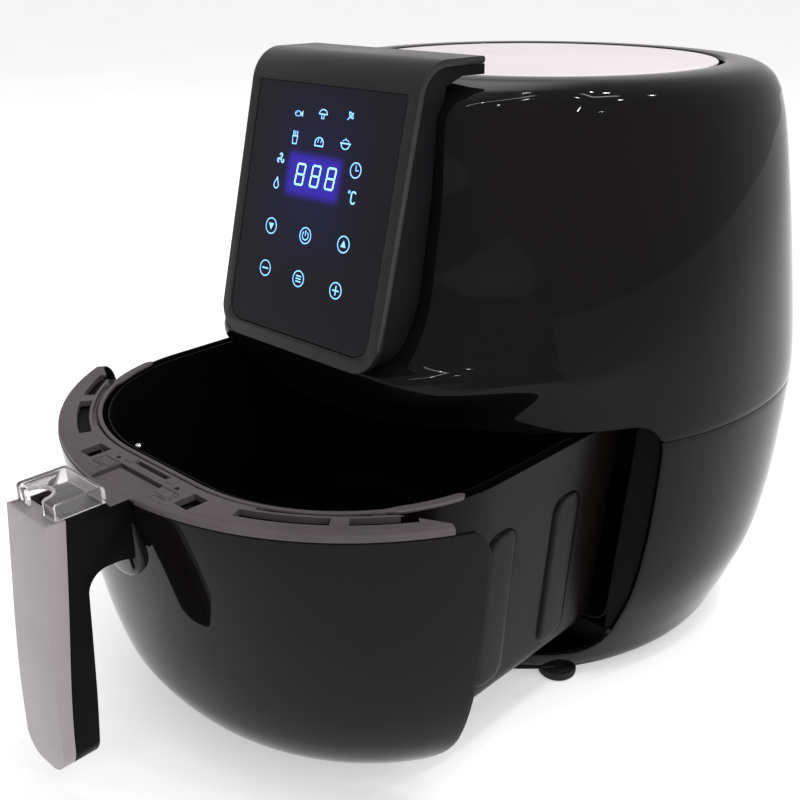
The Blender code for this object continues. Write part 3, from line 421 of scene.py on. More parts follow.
def smooth_line(points, steps):
    """A Catmull-Rom curve through points, with a number of steps per span."""
    pts = [np.array(p, float) for p in points]
    pts = [2 * pts[0] - pts[1]] + pts + [2 * pts[-1] - pts[-2]]
    out = []
    for a, b, c, d in zip(pts, pts[1:], pts[2:], pts[3:]):
        for k in range(steps):
            t = k / steps
            bend, twist = 2 * a - 5 * b + 4 * c - d, 3 * b - a - 3 * c + d
            out.append(0.5 * (2 * b + (c - a) * t + bend * t**2 + twist * t**3))
    out.append(pts[-2])
    return [tuple(p) for p in out]


def rounded(low, high, radii, steps=6):
    """A rectangle between two corners. Its radii go round from the lower left; 0 keeps a corner sharp."""
    (left, bottom), (right, top) = low, high
    corners = ((left, bottom, 1, 1), (right, bottom, -1, 1), (right, top, -1, -1), (left, top, 1, -1))
    out = []
    for k, ((x, y, inward_x, inward_y), radius) in enumerate(zip(corners, radii)):
        centre = (x + inward_x * radius, y + inward_y * radius)
        out += arc(centre, radius, 180 + 90 * k, 270 + 90 * k, steps) if radius else [(x, y)]
    return out


# ---------------------------------------------------------------- the body's outline
def follow(table, z, column):
    """A smooth curve through one column of a table whose first column is the height."""
    z = min(max(z, table[0][0]), table[-1][0])
    k = max(i for i in range(len(table) - 1) if table[i][0] <= z)

    def slope(i):
        low, high = max(i - 1, 0), min(i + 1, len(table) - 1)
        return (table[high][column] - table[low][column]) / (table[high][0] - table[low][0])

    span = table[k + 1][0] - table[k][0]
    t = (z - table[k][0]) / span
    rise = table[k][column] * (2 * t**3 - 3 * t**2 + 1) + table[k + 1][column] * (3 * t**2 - 2 * t**3)
    return rise + span * (slope(k) * (t**3 - 2 * t**2 + t) + slope(k + 1) * (t**3 - t**2))


def body_size(z, inset=0.0):
    return (follow(PROFILE, z, 1) - inset, follow(PROFILE, z, 2) - inset)


def oval(half):
    return (half, half * DEPTH_RATIO)


def bearing_radius(size, angle):
    """How far the plan outline is from its centre at a bearing. Bearing 0 faces the front."""
    across, along = abs(math.sin(angle)) / size[0], abs(math.cos(angle)) / size[1]
    return (across**POWER + along**POWER) ** (-1 / POWER)


def on_outline(size, angle, z):
    radius = bearing_radius(size, angle)
    return (radius * math.sin(angle), -radius * math.cos(angle), z)


def edge_bearing(size, y):
    """The bearing, on the +X side, at which the plan outline's front part reaches y."""
    x = size[0] * (1 - (abs(y) / size[1]) ** POWER) ** (1 / POWER)
    return math.atan2(x, -y)


def back_y(x, size):
    return size[1] * (1 - abs(x / size[0]) ** POWER) ** (1 / POWER)


def opening_edge(z, clearance=0.0):
    top, bottom = OPENING_TOP - clearance, OPENING_BOTTOM + clearance
    for radius, depth in ((TOP_RADIUS, top - z), (BOTTOM_RADIUS, z - bottom)):
        if depth < radius:
            short = radius - max(depth, 0.0)
            return EDGE_Y - clearance - radius + math.sqrt(radius**2 - short**2)
    return EDGE_Y - clearance


# ---------------------------------------------------------------- upper housing
NOSE = [  # (height, y of the front, half of its flat width, width of the fall to the body)
    (0.1632, -0.1660, 0.0120, 0.0620),
    (0.1690, -0.1665, 0.0240, 0.0600),
    (0.1722, -0.1676, 0.0330, 0.0590),
    (0.1775, -0.1722, 0.0430, 0.0570),
    (0.1855, -0.1778, 0.0535, 0.0550),
    (0.1925, -0.1802, 0.0535, 0.0530),
    (0.1960, -0.1785, 0.0535, 0.0520),
    (0.1985, -0.1720, 0.0535, 0.0510),
    (0.2063, -0.1632, 0.0535, 0.0480),
    (0.2150, -0.1572, 0.0535, 0.0440),
    (0.2254, -0.1530, 0.0535, 0.0400),
    (0.2435, -0.1498, 0.0535, 0.0400),
    (0.2700, -0.1455, 0.0535, 0.0400),
    (0.3040, -0.1424, 0.0535, 0.0400),
    (0.3118, -0.1378, 0.0535, 0.0400),
    (0.3155, -0.1290, 0.0535, 0.0400),
]
NOSE_END_Z = 0.3180  # the raised front has faded out here
SHOULDER = [
    (0.1268, 0.3060),
    (0.1232, 0.3118),
    (0.1190, 0.3155),
    (0.1135, 0.3180),
    (0.1060, 0.3190),
    (0.1000, 0.3189),
]


def nose_point(size, angle, z):
    """A point of the upper housing's outline, pushed out to the nose's front where that is further out."""
    x, y, _ = on_outline(size, angle, z)
    front, flat, fall = (follow(NOSE, z, column) for column in (1, 2, 3))
    share = max((abs(x) - flat) / fall, 0.0)
    fade = min(max((NOSE_END_Z - z) / (NOSE_END_Z - NOSE[-1][0]), 0.0), 1.0)
    if y < 0 and front < y and share < 1 and fade > 0:
        raised = front + (y - front) * share * share * (3 - 2 * share)
        y += (raised - y) * fade
    return (x, y, z)


def bearings():
    """Bearings round the body, closer together at the front."""
    fine, coarse, fine_until = 0.8, 1.6, 72.0
    half = [0.0]
    while half[-1] < 180.0:
        half.append(half[-1] + (fine if half[-1] < fine_until else coarse))
    half[-1] = 180.0
    right = [math.radians(a) for a in half]
    return right[:-1] + [math.tau - a for a in right[:0:-1]]


def signed(angle):
    return angle - math.tau if angle > math.pi else angle


def lowest_edge(angle):
    """How low the upper housing reaches at a bearing: to the seam, or to the drawer opening's top."""
    _, y, _ = on_outline(body_size(0.158), angle, 0.0)
    seam = SEAM_Z + 0.0004
    if y >= EDGE_Y:
        return seam
    if y < EDGE_Y - TOP_RADIUS:
        return OPENING_TOP
    inside = y - (EDGE_Y - TOP_RADIUS)
    return max(seam, OPENING_TOP - TOP_RADIUS + math.sqrt(TOP_RADIUS**2 - inside**2))


def make_upper_shell():
    """The glossy upper housing: rings from its lower edge to the disc's seat, with the vent's opening."""
    angles = [signed(a) for a in bearings()]
    lip = OPENING_TOP + 0.0008
    rings = []
    for share in (0.0, 0.3, 0.65):
        ring = []
        for angle in angles:
            low = lowest_edge(angle)
            z = low + (lip - low) * share
            ring.append(nose_point(body_size(z), angle, z))
        rings.append(ring)
    heights = [lip + 0.0018 * k for k in range(17)] + [0.1945 + 0.0010 * k for k in range(8)]
    heights += [0.2025 + 0.0025 * k for k in range(41)] + [0.3045]
    rings += [[nose_point(body_size(z), angle, z) for angle in angles] for z in heights]
    rings += [[nose_point(oval(half), angle, z) for angle in angles] for half, z in smooth_line(SHOULDER, 6)]
    seat = [(0.0985, 0.3188), (0.0976, 0.3184), (0.0971, 0.3177), (0.0969, 0.3166), (0.0968, 0.3150)]
    rings += [[on_outline(oval(half), angle, z) for angle in angles] for half, z in seat]
    shell = loft("upper_shell", rings, BODY_GLOSS, "body", capped=False, smooth=SHELL_SMOOTH)
    solidify(shell, SHELL_WALL)
    opening = rounded((-0.0460, 0.2140), (0.0460, 0.2630), [0.004] * 4)
    boolean(shell, prism("vent_cutter", opening, "Y", 0.10, 0.20, INNER_BLACK, "body"))
    finish(shell, EDGE_WIDTH, 2, 50.0, SHELL_SMOOTH)
    stands_for(shell, "upper_housing")


make_upper_shell()


# ---------------------------------------------------------------- lower housing
def make_lower_shell():
    """A grid in two parts: a full band below the drawer opening, and the wall behind the opening's edge."""
    back_count, front_count = 110, 60
    band_top = OPENING_BOTTOM + BOTTOM_RADIUS
    wall_rows = [band_top + (SEAM_Z - band_top) * k / 30 for k in range(31)]
    band = [0.0, 0.12, 0.26, 0.42, 0.60, 0.78, 1.0]
    band_start = 0.0075

    def bearing(column, z):
        """Column runs from 0 at the front to front_count at the opening's edge, and on to the back."""
        size = body_size(z)
        limit = edge_bearing(size, opening_edge(z) if z > band_top else EDGE_Y)
        if column <= front_count:
            return limit * column / front_count
        return limit + (math.pi - limit) * (column - front_count) / back_count

    columns = list(range(front_count + back_count + 1))
    columns = [-c for c in columns[:0:-1]] + columns

    def low_top(column):
        """How high the band reaches in front of the opening's edge."""
        if abs(column) >= front_count:
            return band_top
        z = OPENING_BOTTOM
        for _ in range(3):
            size = body_size(z)
            _, y, _ = on_outline(size, bearing(abs(column), z), z)
            inside = y - (EDGE_Y - BOTTOM_RADIUS)
            if inside <= 0:
                return OPENING_BOTTOM
            z = band_top - math.sqrt(max(BOTTOM_RADIUS**2 - min(inside, BOTTOM_RADIUS) ** 2, 0.0))
        return z

    points, index = [], {}

    def add(column, row, point):
        index[(column, row)] = len(points)
        points.append(point)

    flange = [(oval(0.1000), BASE_Z), (oval(0.1150), BASE_Z), (oval(0.1212), BASE_Z)]
    flange += [(oval(0.1226), 0.0058), (oval(0.1234), 0.0064)]
    for column in columns:
        sign = math.copysign(1.0, column)
        for row, (size, z) in enumerate(flange):
            angle = bearing(abs(column), band_start) * sign
            add(column, row, on_outline(size, angle, z))
        top = low_top(column)
        for k, share in enumerate(band):
            z = band_start + (top - band_start) * share
            angle = bearing(abs(column), z) * sign
            add(column, len(flange) + k, on_outline(body_size(z), angle, z))
        if abs(column) >= front_count:
            for k, z in enumerate(wall_rows[1:]):
                angle = bearing(abs(column), z) * sign
                add(column, len(flange) + len(band) + k, on_outline(body_size(z), angle, z))
    faces = []
    total = len(flange) + len(band) + len(wall_rows) - 1
    for left, right in zip(columns, columns[1:]):
        for row in range(total - 1):
            keys = [(left, row), (right, row), (right, row + 1), (left, row + 1)]
            if all(key in index for key in keys):
                faces.append(tuple(index[key] for key in keys))
    shell = new_piece("lower_shell", points, faces, BODY_GLOSS, "body", SHELL_SMOOTH)
    solidify(shell, SHELL_WALL)
    finish(shell, EDGE_WIDTH, 2, 55.0, SHELL_SMOOTH)
    stands_for(shell, "lower_housing")


make_lower_shell()


# ---------------------------------------------------------------- top disc
def make_disc():
    around = 160
    edge = [(0.0928, 0.3165), (0.0937, 0.3168), (0.0941, 0.3173), (0.0941, 0.3178), (0.0938, 0.3182)]
    face = [(0.0931, 0.3185), (0.0900, 0.31865), (0.0750, 0.3190), (0.0600, 0.3192)]
    face += [(0.0300, 0.3193), (0.0002, 0.3193)]
    turns = [math.tau * k / around for k in range(around)]
    rings = [[on_outline(oval(half), turn, z) for turn in turns] for half, z in edge + face]
    stands_for(loft("disc_plate", rings, DISC_SILVER, "body"), "top_disc")


make_disc()


# ---------------------------------------------------------------- feet
SIDES = (("right", 1), ("left", -1))


def make_feet():
    sole = [(0.0001, 0.0004), (0.0060, 0.0002), (0.0066, 0.0), (0.0086, 0.0)]
    profile = sole + [(0.0096, 0.0004), (0.0103, 0.0012), (0.0106, 0.0024), (0.0104, 0.0052)]
    for end, y, x in (("front", -0.080, 0.0925), ("rear", 0.090, 0.088)):
        for side, sign in SIDES:
            foot = turned(f"foot_pad_{end}_{side}", profile, FOOT_RUBBER, "body", at=(sign * x, y))
            stands_for(foot, f"foot_{end}_{side}")


make_feet()


# ---------------------------------------------------------------- drawer front
NECK_HALF = 0.0160
RING_TOP, RING_BOTTOM = 0.1626, 0.1597
RIM_END_Y = -0.0600
STUD_PLACE = (-0.0300, -0.1246)


def box_points(low, high):
    (x0, y0, z0), (x1, y1, z1) = low, high
    return [[(x0, y0, z), (x1, y0, z), (x1, y1, z), (x0, y1, z)] for z in (z0, z1)]


def block(name, low, high, material, body):
    return loft(name, box_points(low, high), material, body)


def cutters(name, corner_pairs, body):
    """Boxes that don't touch one another, joined as one cutter."""
    points, faces = [], []
    for low, high in corner_pairs:
        start = len(points)
        points += [p for ring in box_points(low, high) for p in ring]
        faces += [tuple(start + k for k in face) for face in loft_faces(2, 4)]
    return new_piece(name, points, faces, INNER_BLACK, body, 0)


def mirrored(corner_pairs):
    """The boxes, and the same boxes on the other side."""
    other = [((-high[0], low[1], low[2]), (-low[0], high[1], high[2])) for low, high in corner_pairs]
    return corner_pairs + other


def make_drawer_shell():
    """The drawer's glossy front, which tucks in at the bottom."""
    columns = 140
    heights = [0.0196, 0.0205, 0.0216, 0.0230, 0.0248, 0.0270, 0.0297, 0.0328, 0.0365, 0.0410]
    heights += [0.0460 + 0.0060 * k for k in range(16)] + [0.1420 + 0.0012 * k for k in range(15)] + [0.1594]
    tuck_top, tuck_height, tuck_depth = 0.048, 0.0284, 0.0105
    rows = []
    for z in heights:
        tuck = tuck_depth * (max(tuck_top - z, 0.0) / tuck_height) ** 2
        size = body_size(z, tuck)
        reach = edge_bearing(size, opening_edge(z, 0.0009))
        rows.append([on_outline(size, reach * (2 * k / columns - 1), z) for k in range(columns + 1)])
    points = [p for row in rows for p in row]
    faces = grid_faces(len(rows), columns + 1)
    shell = new_piece("drawer_shell", points, faces, BODY_GLOSS, "drawer", SHELL_SMOOTH)
    solidify(shell, SHELL_WALL)
    notch = cutters("neck_notch", [((-NECK_HALF, -0.20, 0.1500), (NECK_HALF, -0.14, 0.20))], "drawer")
    boolean(shell, notch)
    finish(shell, EDGE_WIDTH, 2, 55.0, SHELL_SMOOTH)
    stands_for(shell, "drawer_front")


make_drawer_shell()


# ---------------------------------------------------------------- pan and basket
PAN_HALF, PAN_FRONT = 0.1170, -0.1335
PAN_TOP, PAN_BOTTOM, PAN_TAPER = 0.1612, 0.0360, 0.0100
PAN_FRONT_RADIUS, PAN_REAR_RADIUS, PAN_FILLET = 0.092, 0.060, 0.012
TUB_SMOOTH = 50.0


def tub_ring(offset, z, steps=26):
    """The pan's plan outline, moved out by an offset."""
    half, front, back = PAN_HALF + offset, PAN_FRONT - offset, PAN_BACK + offset
    near, far = PAN_FRONT_RADIUS + offset, PAN_REAR_RADIUS + offset
    ring = []
    for sign, radius, y, start in ((1, near, front + near, -90), (1, far, back - far, 0),
                                   (-1, far, back - far, 90), (-1, near, front + near, 180)):
        ring += [(u, v, z) for u, v in arc((sign * (half - radius), y), radius, start, start + 90, steps)]
    return ring


def tub_lean(z):
    return -PAN_TAPER * (PAN_TOP - z) / (PAN_TOP - PAN_BOTTOM)


def tub_rings(offset, top, bottom, wall):
    """Rings of a tub, up its outside and down its inside, with a rounded lower edge."""
    rings = []
    for skin in (0.0, wall):
        radius = PAN_FILLET - skin
        low = bottom + PAN_FILLET
        rows = []
        for turn in (math.radians(90 - 15 * k) for k in range(6)):
            inset = radius * (1 - math.cos(turn))
            rows.append((offset + tub_lean(low) - skin - inset, low - radius * math.sin(turn)))
        for z in (low + (top - low) * k / 8 for k in range(9)):
            rows.append((offset + tub_lean(z) - skin, z))
        skin_rings = [tub_ring(row_offset, z) for row_offset, z in rows]
        rings += skin_rings if skin == 0.0 else skin_rings[::-1]
    return rings


def make_pan():
    rings = tub_rings(0.0, PAN_TOP, PAN_BOTTOM, 0.0010)
    pan = loft("pan_shell", rings, PAN_COAT, "drawer", smooth=TUB_SMOOTH)
    boolean(pan, cutters("bracket_notch", [((-0.0135, -0.15, 0.1535), (0.0135, -0.12, 0.20))], "drawer"))
    apply_modifiers(pan, TUB_SMOOTH)
    stands_for(pan, "pan")


def make_ribs():
    """The ribs pressed out of the pan's sides."""
    low, high, radius, flat = 0.048, 0.134, 0.008, 0.0025
    middle = (low + high) / 2
    profile = ((0.0, -0.0004), (0.0002, 0.0006), (0.0010, 0.0012), (0.0024, 0.0015), (0.0042, 0.0016))
    for number, centre in enumerate((-0.034, 0.016), 1):
        outline = []
        for quarter, (y, z) in enumerate(((flat, low + radius), (flat, high - radius),
                                          (-flat, high - radius), (-flat, low + radius))):
            outline += arc((centre + y, z), radius, 90 * quarter - 90, 90 * quarter, 10)
        for side, sign in SIDES:
            rings = []
            for shrink, proud in profile:
                ring = []
                for y, z in outline:
                    v = centre + (y - centre) * (1 - shrink / (radius + flat))
                    w = middle + (z - middle) * (1 - shrink / (middle - low))
                    ring.append((sign * (PAN_HALF + tub_lean(w) + proud), v, w))
                rings.append(ring)
            loft(f"pan_rib_{side}_{number}", rings, PAN_COAT, "drawer", smooth=70.0)


def make_basket():
    rings = tub_rings(-0.0055, PAN_TOP - 0.0004, 0.0440, 0.0008)
    basket = loft("basket_shell", rings, BASKET_COAT, "drawer", smooth=TUB_SMOOTH)
    step_across, step_along, middle = 0.036, 0.022, -0.0165
    half_width, half_depth = 0.0100, 0.0030
    holes = []
    for i in range(-2, 3):
        for j in range(-3, 4):
            x, y = i * step_across, middle + j * step_along
            holes.append(((x - half_width, y - half_depth, 0.03), (x + half_width, y + half_depth, 0.06)))
    boolean(basket, cutters("basket_holes", holes, "drawer"))
    apply_modifiers(basket, TUB_SMOOTH)
    stands_for(basket, "basket")


make_pan()
make_ribs()
make_basket()


# ---------------------------------------------------------------- slotted ring
def tub_front_point(offset, share):
    """A point on the front of the pan's outline, from -1 at the left side to 1 at the right."""
    half, front, radius = PAN_HALF + offset, PAN_FRONT - offset, PAN_FRONT_RADIUS + offset
    flat = half - radius
    along = abs(share) * (flat + radius * math.radians(55.0))
    if along < flat:
        return (math.copysign(along, share), front)
    turn = (along - flat) / radius
    return (math.copysign(flat + radius * math.sin(turn), share), front + radius * (1 - math.cos(turn)))


def band_piece(name, start, end, insets, heights, steps=24):
    """A curved block that follows the drawer's outline between two bearings, in degrees."""
    (outer, inner), (low, high) = insets, heights
    rings = []
    for k in range(steps + 1):
        angle = math.radians(start + (end - start) * k / steps)
        corners = []
        for inset, z in ((outer, low), (outer, high), (inner, high), (inner, low)):
            x, y, _ = on_outline(body_size(RING_TOP, inset), angle, 0.0)
            corners.append((x, y, z))
        rings.append(corners)
    return loft(name, rings, INNER_BLACK, "drawer", smooth=0)


def make_ring():
    """The trim along the top of the drawer's front, with its slots, windows and small raised parts."""
    columns = 130
    end_y = -0.0850
    reach = edge_bearing(body_size(RING_TOP), end_y)
    sections = []
    for k in range(columns + 1):
        share = 2 * k / columns - 1
        angle = reach * share
        inner = np.array(tub_front_point(0.0006, share))
        section = []
        for inset, z in ((0.0003, RING_BOTTOM), (0.0003, 0.1612), (0.0006, 0.1618), (0.0013, 0.1622),
                         (0.0030, 0.1624), (0.0042, 0.1624), (0.0044, RING_TOP)):
            x, y, _ = on_outline(body_size(RING_TOP, inset), angle, z)
            section.append((x, y, z))
        section += [(inner[0], inner[1], RING_TOP), (inner[0], inner[1], RING_BOTTOM)]
        sections.append(section)
    ring = loft("ring_trim", sections, RING_GREY, "drawer", smooth=28.0)
    low, high = RING_BOTTOM - 0.005, RING_TOP + 0.005
    slot, groove, groove_floor = (0.0090, 0.0148), (0.0163, 0.0180), 0.1606
    cuts = []
    for sign in (-1, 1):
        for start, end in ((22.5, 38.0), (41.0, 52.0)):
            cuts.append(band_piece(f"slot_{sign}_{start:.0f}", sign * start, sign * end, slot, (low, high)))
        cuts.append(band_piece(f"groove_{sign}", sign * 25.0, sign * 53.0, groove, (groove_floor, high)))
    floor, fine = 0.1611, 0.0005
    windows = mirrored([((0.0315, -0.1487, low), (0.0405, -0.1376, high)),
                        ((0.0208, -0.1412, floor), (0.0232, -0.1390, high)),
                        ((0.0170, -0.1432, floor), (0.0275, -0.1432 + fine, high)),
                        ((0.0277, -0.1494, floor), (0.0277 + fine, -0.1434, high)),
                        ((0.0205, -0.1501, floor), (0.0275, -0.1496, high)),
                        ((0.0198, -0.1530, floor), (0.0203, -0.1498, high))])
    windows.append(((-0.0162, -0.17, low), (0.0162, -0.1425, high)))
    windows.append(((-0.0118, -0.1386, low), (0.0118, -0.1358, high)))
    cuts.append(cutters("ring_windows", windows, "drawer"))
    for cutter in cuts:
        boolean(ring, cutter)
    apply_modifiers(ring, 30.0)
    stands_for(ring, "slotted_ring")
    for side, sign in SIDES:
        for name, near, far, front, back, proud in (("bar", 0.0172, 0.0262, -0.1486, -0.1442, 0.0004),
                                                    ("tab", 0.0130, 0.0178, -0.1396, -0.1346, 0.0003)):
            left, right = sorted((sign * near, sign * far))
            corners = (left, front, RING_TOP - 0.0002), (right, back, RING_TOP + proud)
            bevel(block(f"ring_{name}_{side}", *corners, RING_GREY, "drawer"), 0.0003, 2)


def rim_path(steps=90):
    """Points and outward directions along the pan's rim, from the left arm's end to the right arm's."""
    radius = PAN_FRONT_RADIUS - 0.0018
    centre_x, centre_y = PAN_HALF - PAN_FRONT_RADIUS, PAN_FRONT + PAN_FRONT_RADIUS
    turn = math.acos((centre_y - RIM_END_Y) / radius)
    reach = centre_x + radius * turn
    path = []
    for k in range(2 * steps + 1):
        along = reach * (k / steps - 1)
        angle = max(abs(along) - centre_x, 0.0) / radius
        x = min(abs(along), centre_x) + radius * math.sin(angle)
        out = (math.copysign(math.sin(angle), along), -math.cos(angle))
        path.append((math.copysign(x, along), centre_y - radius * math.cos(angle), out))
    return path


def make_ring_rim():
    """The trim's inner border on the pan's rim, which widens into a round-ended arm on each side."""
    narrow, wide, arm_start, arm_end = 0.0011, 0.0026, -0.0930, RIM_END_Y
    widening, rounding = 0.006, 0.004
    bottom, edge, top = 0.1613, 0.1621, 0.1625
    profile = ((-1.0, bottom), (-1.0, edge), (-0.75, top), (0.75, top), (1.0, edge), (1.0, bottom))
    rings = []
    for x, y, out in rim_path():
        share = min(max((y - arm_start) / widening, 0.0), 1.0)
        half = narrow + (wide - narrow) * share * share * (3 - 2 * share)
        left = min(max((arm_end - y) / rounding, 0.0), 1.0)
        half *= math.sqrt(max(1 - (1 - left) ** 2, 0.03))
        rings.append([(x + out[0] * half * across, y + out[1] * half * across, z) for across, z in profile])
    loft("ring_rim", rings, RING_GREY, "drawer", smooth=30.0)


def make_ring_pockets():
    """The dark floors under the trim's slots."""
    for side, sign in SIDES:
        floor = band_piece(f"ring_pocket_{side}", sign * 8.0, sign * 54.0, (0.0030, 0.0160), (0.1576, 0.1582))
        bevel(floor, 0.0002, 2)


def make_rim_stud():
    """The small shiny stud inside the basket's rim."""
    profile = [(0.0001, 0.1586), (0.0010, 0.1588), (0.0016, 0.1594), (0.0017, 0.1600)]
    profile += [(0.0015, 0.1607), (0.0009, 0.1612), (0.0001, 0.1614)]
    turned("rim_stud", profile, RIVET_STEEL, "drawer", STUD_PLACE, sides=24)


make_ring()
make_ring_rim()
make_ring_pockets()
make_rim_stud()


# ---------------------------------------------------------------- handle, button and guard
HANDLE_HALF, HANDLE_BOTTOM, HANDLE_TOP = 0.0153, 0.0440, 0.1640
GRIP_SPLIT = [(-0.1878, 0.1640), (-0.1914, 0.1269), (-0.1958, 0.0853), (-0.1977, 0.0587), (-0.1985, 0.0300)]
COVER_FRONT = [(-0.1971, 0.1646), (-0.1988, 0.1443), (-0.2022, 0.1041), (-0.2038, 0.0752), (-0.2045, 0.0300)]
COVER_WALL = 0.0022
BUTTON_Y = -0.1780


def handle_outline(half, bottom):
    """The handle's front view, with its lower corners rounded."""
    radius = half - 0.0040
    left = arc((-half + radius, bottom + radius), radius, 180, 270, 16)
    right = arc((half - radius, bottom + radius), radius, 270, 360, 16)
    return [(half, 0.20), (-half, 0.20)] + left + right


def side_prism(name, outline, half, material, body="drawer"):
    return prism(name, outline, "X", -half, half, material, body)


def front_prism(name, outline):
    """A cutter with a front view, which reaches through the whole handle."""
    return prism(name, outline, "Y", -0.25, -0.10, INNER_BLACK, "drawer")


def make_handle():
    """The black grip and its silver front cover, cut from their side views by the front view."""
    split, front = smooth_line(GRIP_SPLIT, 5), smooth_line(COVER_FRONT, 5)
    inner_side = [(-0.1436, 0.1604), (-0.1436, 0.1508), (-0.1592, 0.1508), (-0.1590, 0.1400)]
    inner_side += [(-0.1592, 0.1345)]
    inner_side += smooth_line([(-0.1604, 0.1342), (-0.1630, 0.1352), (-0.1665, 0.1360)], 4)
    inner_side += arc((-0.1724, 0.1262), 0.0100, 90, 180, 14)
    inner_side += smooth_line([(-0.1832, 0.1085), (-0.1847, 0.0789), (-0.1861, 0.0594), (-0.1885, 0.0300)], 5)
    top = [(-0.1693, HANDLE_TOP), (-0.1682, 0.1622), (-0.1590, 0.1622), (-0.1578, 0.1604)]
    grip = side_prism("grip_body", split[::-1] + top + inner_side, HANDLE_HALF, HANDLE_BLACK)
    outline = handle_outline(HANDLE_HALF + 0.0001, HANDLE_BOTTOM)
    boolean(grip, front_prism("grip_outline", outline), "INTERSECT")
    for name, corners in (("button_pocket", ((-0.0092, -0.1862, 0.1500), (0.0092, -0.1698, 0.20))),
                          ("latch_channel", ((-0.0060, -0.1705, 0.1523), (0.0060, -0.1300, 0.1557)))):
        boolean(grip, cutters(name, [corners], "drawer"))
    finish(grip, 0.0009)
    stands_for(grip, "handle_grip")

    side = front[::-1] + [(y - 0.0004, z) for y, z in split]
    cover = side_prism("cover_body", side, HANDLE_HALF, HANDLE_SILVER)
    boolean(cover, front_prism("cover_outline", outline), "INTERSECT")
    ceiling = HANDLE_TOP - COVER_WALL
    side = [(y + COVER_WALL, min(z, ceiling)) for y, z in front[::-1]] + [(-0.15, ceiling), (-0.15, 0.03)]
    hollow = side_prism("cover_hollow", side, 0.02, INNER_BLACK)
    inner = handle_outline(HANDLE_HALF - COVER_WALL, HANDLE_BOTTOM + COVER_WALL)
    boolean(hollow, front_prism("hollow_outline", inner), "INTERSECT")
    apply_modifiers(hollow)
    boolean(cover, hollow)
    boolean(cover, cutters("cover_top", [((-0.0141, -0.1958, 0.1638), (0.0141, -0.1860, 0.17))], "drawer"))
    finish(cover, 0.0005)
    stands_for(cover, "handle_cover")


def make_neck_cap():
    """The grey cap on the neck, between the guard and the trim."""
    side = [(-0.1684, 0.1616), (-0.1684, 0.1627), (-0.1590, 0.1627), (-0.1576, 0.1613), (-0.1436, 0.1613)]
    side += [(-0.1436, 0.1600), (-0.1578, 0.1600), (-0.1590, 0.1616)]
    bevel(side_prism("neck_cap", side, 0.0150, RING_GREY), 0.0003, 2)


def make_neck_pad():
    """The rounded pad on the drawer's front that the handle's neck ends in."""
    half, top, bottom = 0.0138, 0.1500, 0.1185
    outline = [(half, top), (-half, top)] + arc((0.0, bottom + half), half, 180, 360, 28)
    profile = ((0.0, -0.0015), (0.0, 0.0022), (0.0005, 0.0036), (0.0016, 0.0045), (0.0034, 0.0049))
    rings = []
    for shrink, proud in profile:
        ring = []
        for x, z in outline:
            across = x * (1 - shrink / half)
            height = (bottom + half) + (z - bottom - half) * (1 - shrink / half)
            ring.append((across, -back_y(across, body_size(height)) - proud, height))
        rings.append(ring)
    loft("neck_pad", rings, PAD_GLOSS, "drawer", smooth=45.0)


def make_button():
    low, high = (-0.0088, BUTTON_Y - 0.0078, 0.1545), (0.0088, BUTTON_Y + 0.0078, HANDLE_TOP)
    button = block("button_body", low, high, HANDLE_BLACK, "release_button")
    spring_room = [(0.0056, 0.150), (0.0056, 0.1615)]
    boolean(button, turned("button_hollow", spring_room, INNER_BLACK, "release_button", (0.0, BUTTON_Y)))
    finish(button, 0.0012, 4, 50.0)
    stands_for(button, "release_button")


def make_guard():
    """The clear cover over the button, with a round thumb cut-out at its front."""
    half, front, back, bottom, top = 0.0143, -0.1925, -0.1690, 0.1644, 0.1722
    wall, thumb_radius, rim_width = 0.0014, 0.0062, 0.0012
    thumb_y = front + 0.0012
    outline = rounded((front, bottom), (back, top), [0.0003, 0.0003, 0.0022, 0.0016])
    guard = side_prism("guard_shell", outline, half, CLEAR, "button_guard")
    inside = rounded((front + wall, bottom - 0.01), (back - wall, top - wall), [0, 0, 0.0012, 0.0008], 5)
    boolean(guard, side_prism("guard_inside", inside, half - wall, INNER_BLACK))
    thumb = [(thumb_radius, 0.16), (thumb_radius, 0.18)]
    boolean(guard, turned("thumb_cutter", thumb, INNER_BLACK, "button_guard", (0.0, thumb_y), sides=48))
    finish(guard, 0.0004)
    stands_for(guard, "button_guard")
    inner, outer, low, high = thumb_radius, thumb_radius + rim_width, 0.1706, 0.1716
    rings = []
    for turn in (math.radians(6 * k) for k in range(31)):
        corners = ((inner, high), (inner, low), (outer, low), (outer, high))
        rings.append([(r * math.cos(turn), thumb_y + r * math.sin(turn), z) for r, z in corners])
    loft("guard_thumb_rim", rings, CLEAR_EDGE, "button_guard", smooth=30.0)


make_handle()
make_neck_cap()
make_neck_pad()
make_button()
make_guard()


# ---------------------------------------------------------------- control panel
PANEL_HALF, BEZEL_THICK, BEND_RADIUS = 0.0546, 0.0032, 0.018
PANEL_TOP, PANEL_BACK_Y = 0.3294, -0.1129
GLASS_HALF, GLASS_BOTTOM, GLASS_TOP = 0.0483, 0.0073, 0.1236  # the top is just below the bend
GLASS_ROOM = 0.0003
INK_HEIGHT = 0.00006


def panel_curve(depth, steps=24):
    """The panel cover's side view, a depth below its face: up the slope, then over the top."""
    up = Vector((-math.sin(PANEL_TILT), math.cos(PANEL_TILT)))
    inward = Vector((math.cos(PANEL_TILT), math.sin(PANEL_TILT)))
    foot = Vector((PANEL_FOOT.y, PANEL_FOOT.z))
    turn = 90 + math.degrees(PANEL_TILT)
    length = (PANEL_TOP - PANEL_FOOT.z) / up.y
    bend_start = foot + up * (length - BEND_RADIUS * math.tan(math.radians(turn / 2)))
    centre = bend_start + inward * BEND_RADIUS
    start = 180 + math.degrees(PANEL_TILT)
    return [tuple(foot + inward * depth)] + arc(centre, BEND_RADIUS - depth, start, 90, steps)


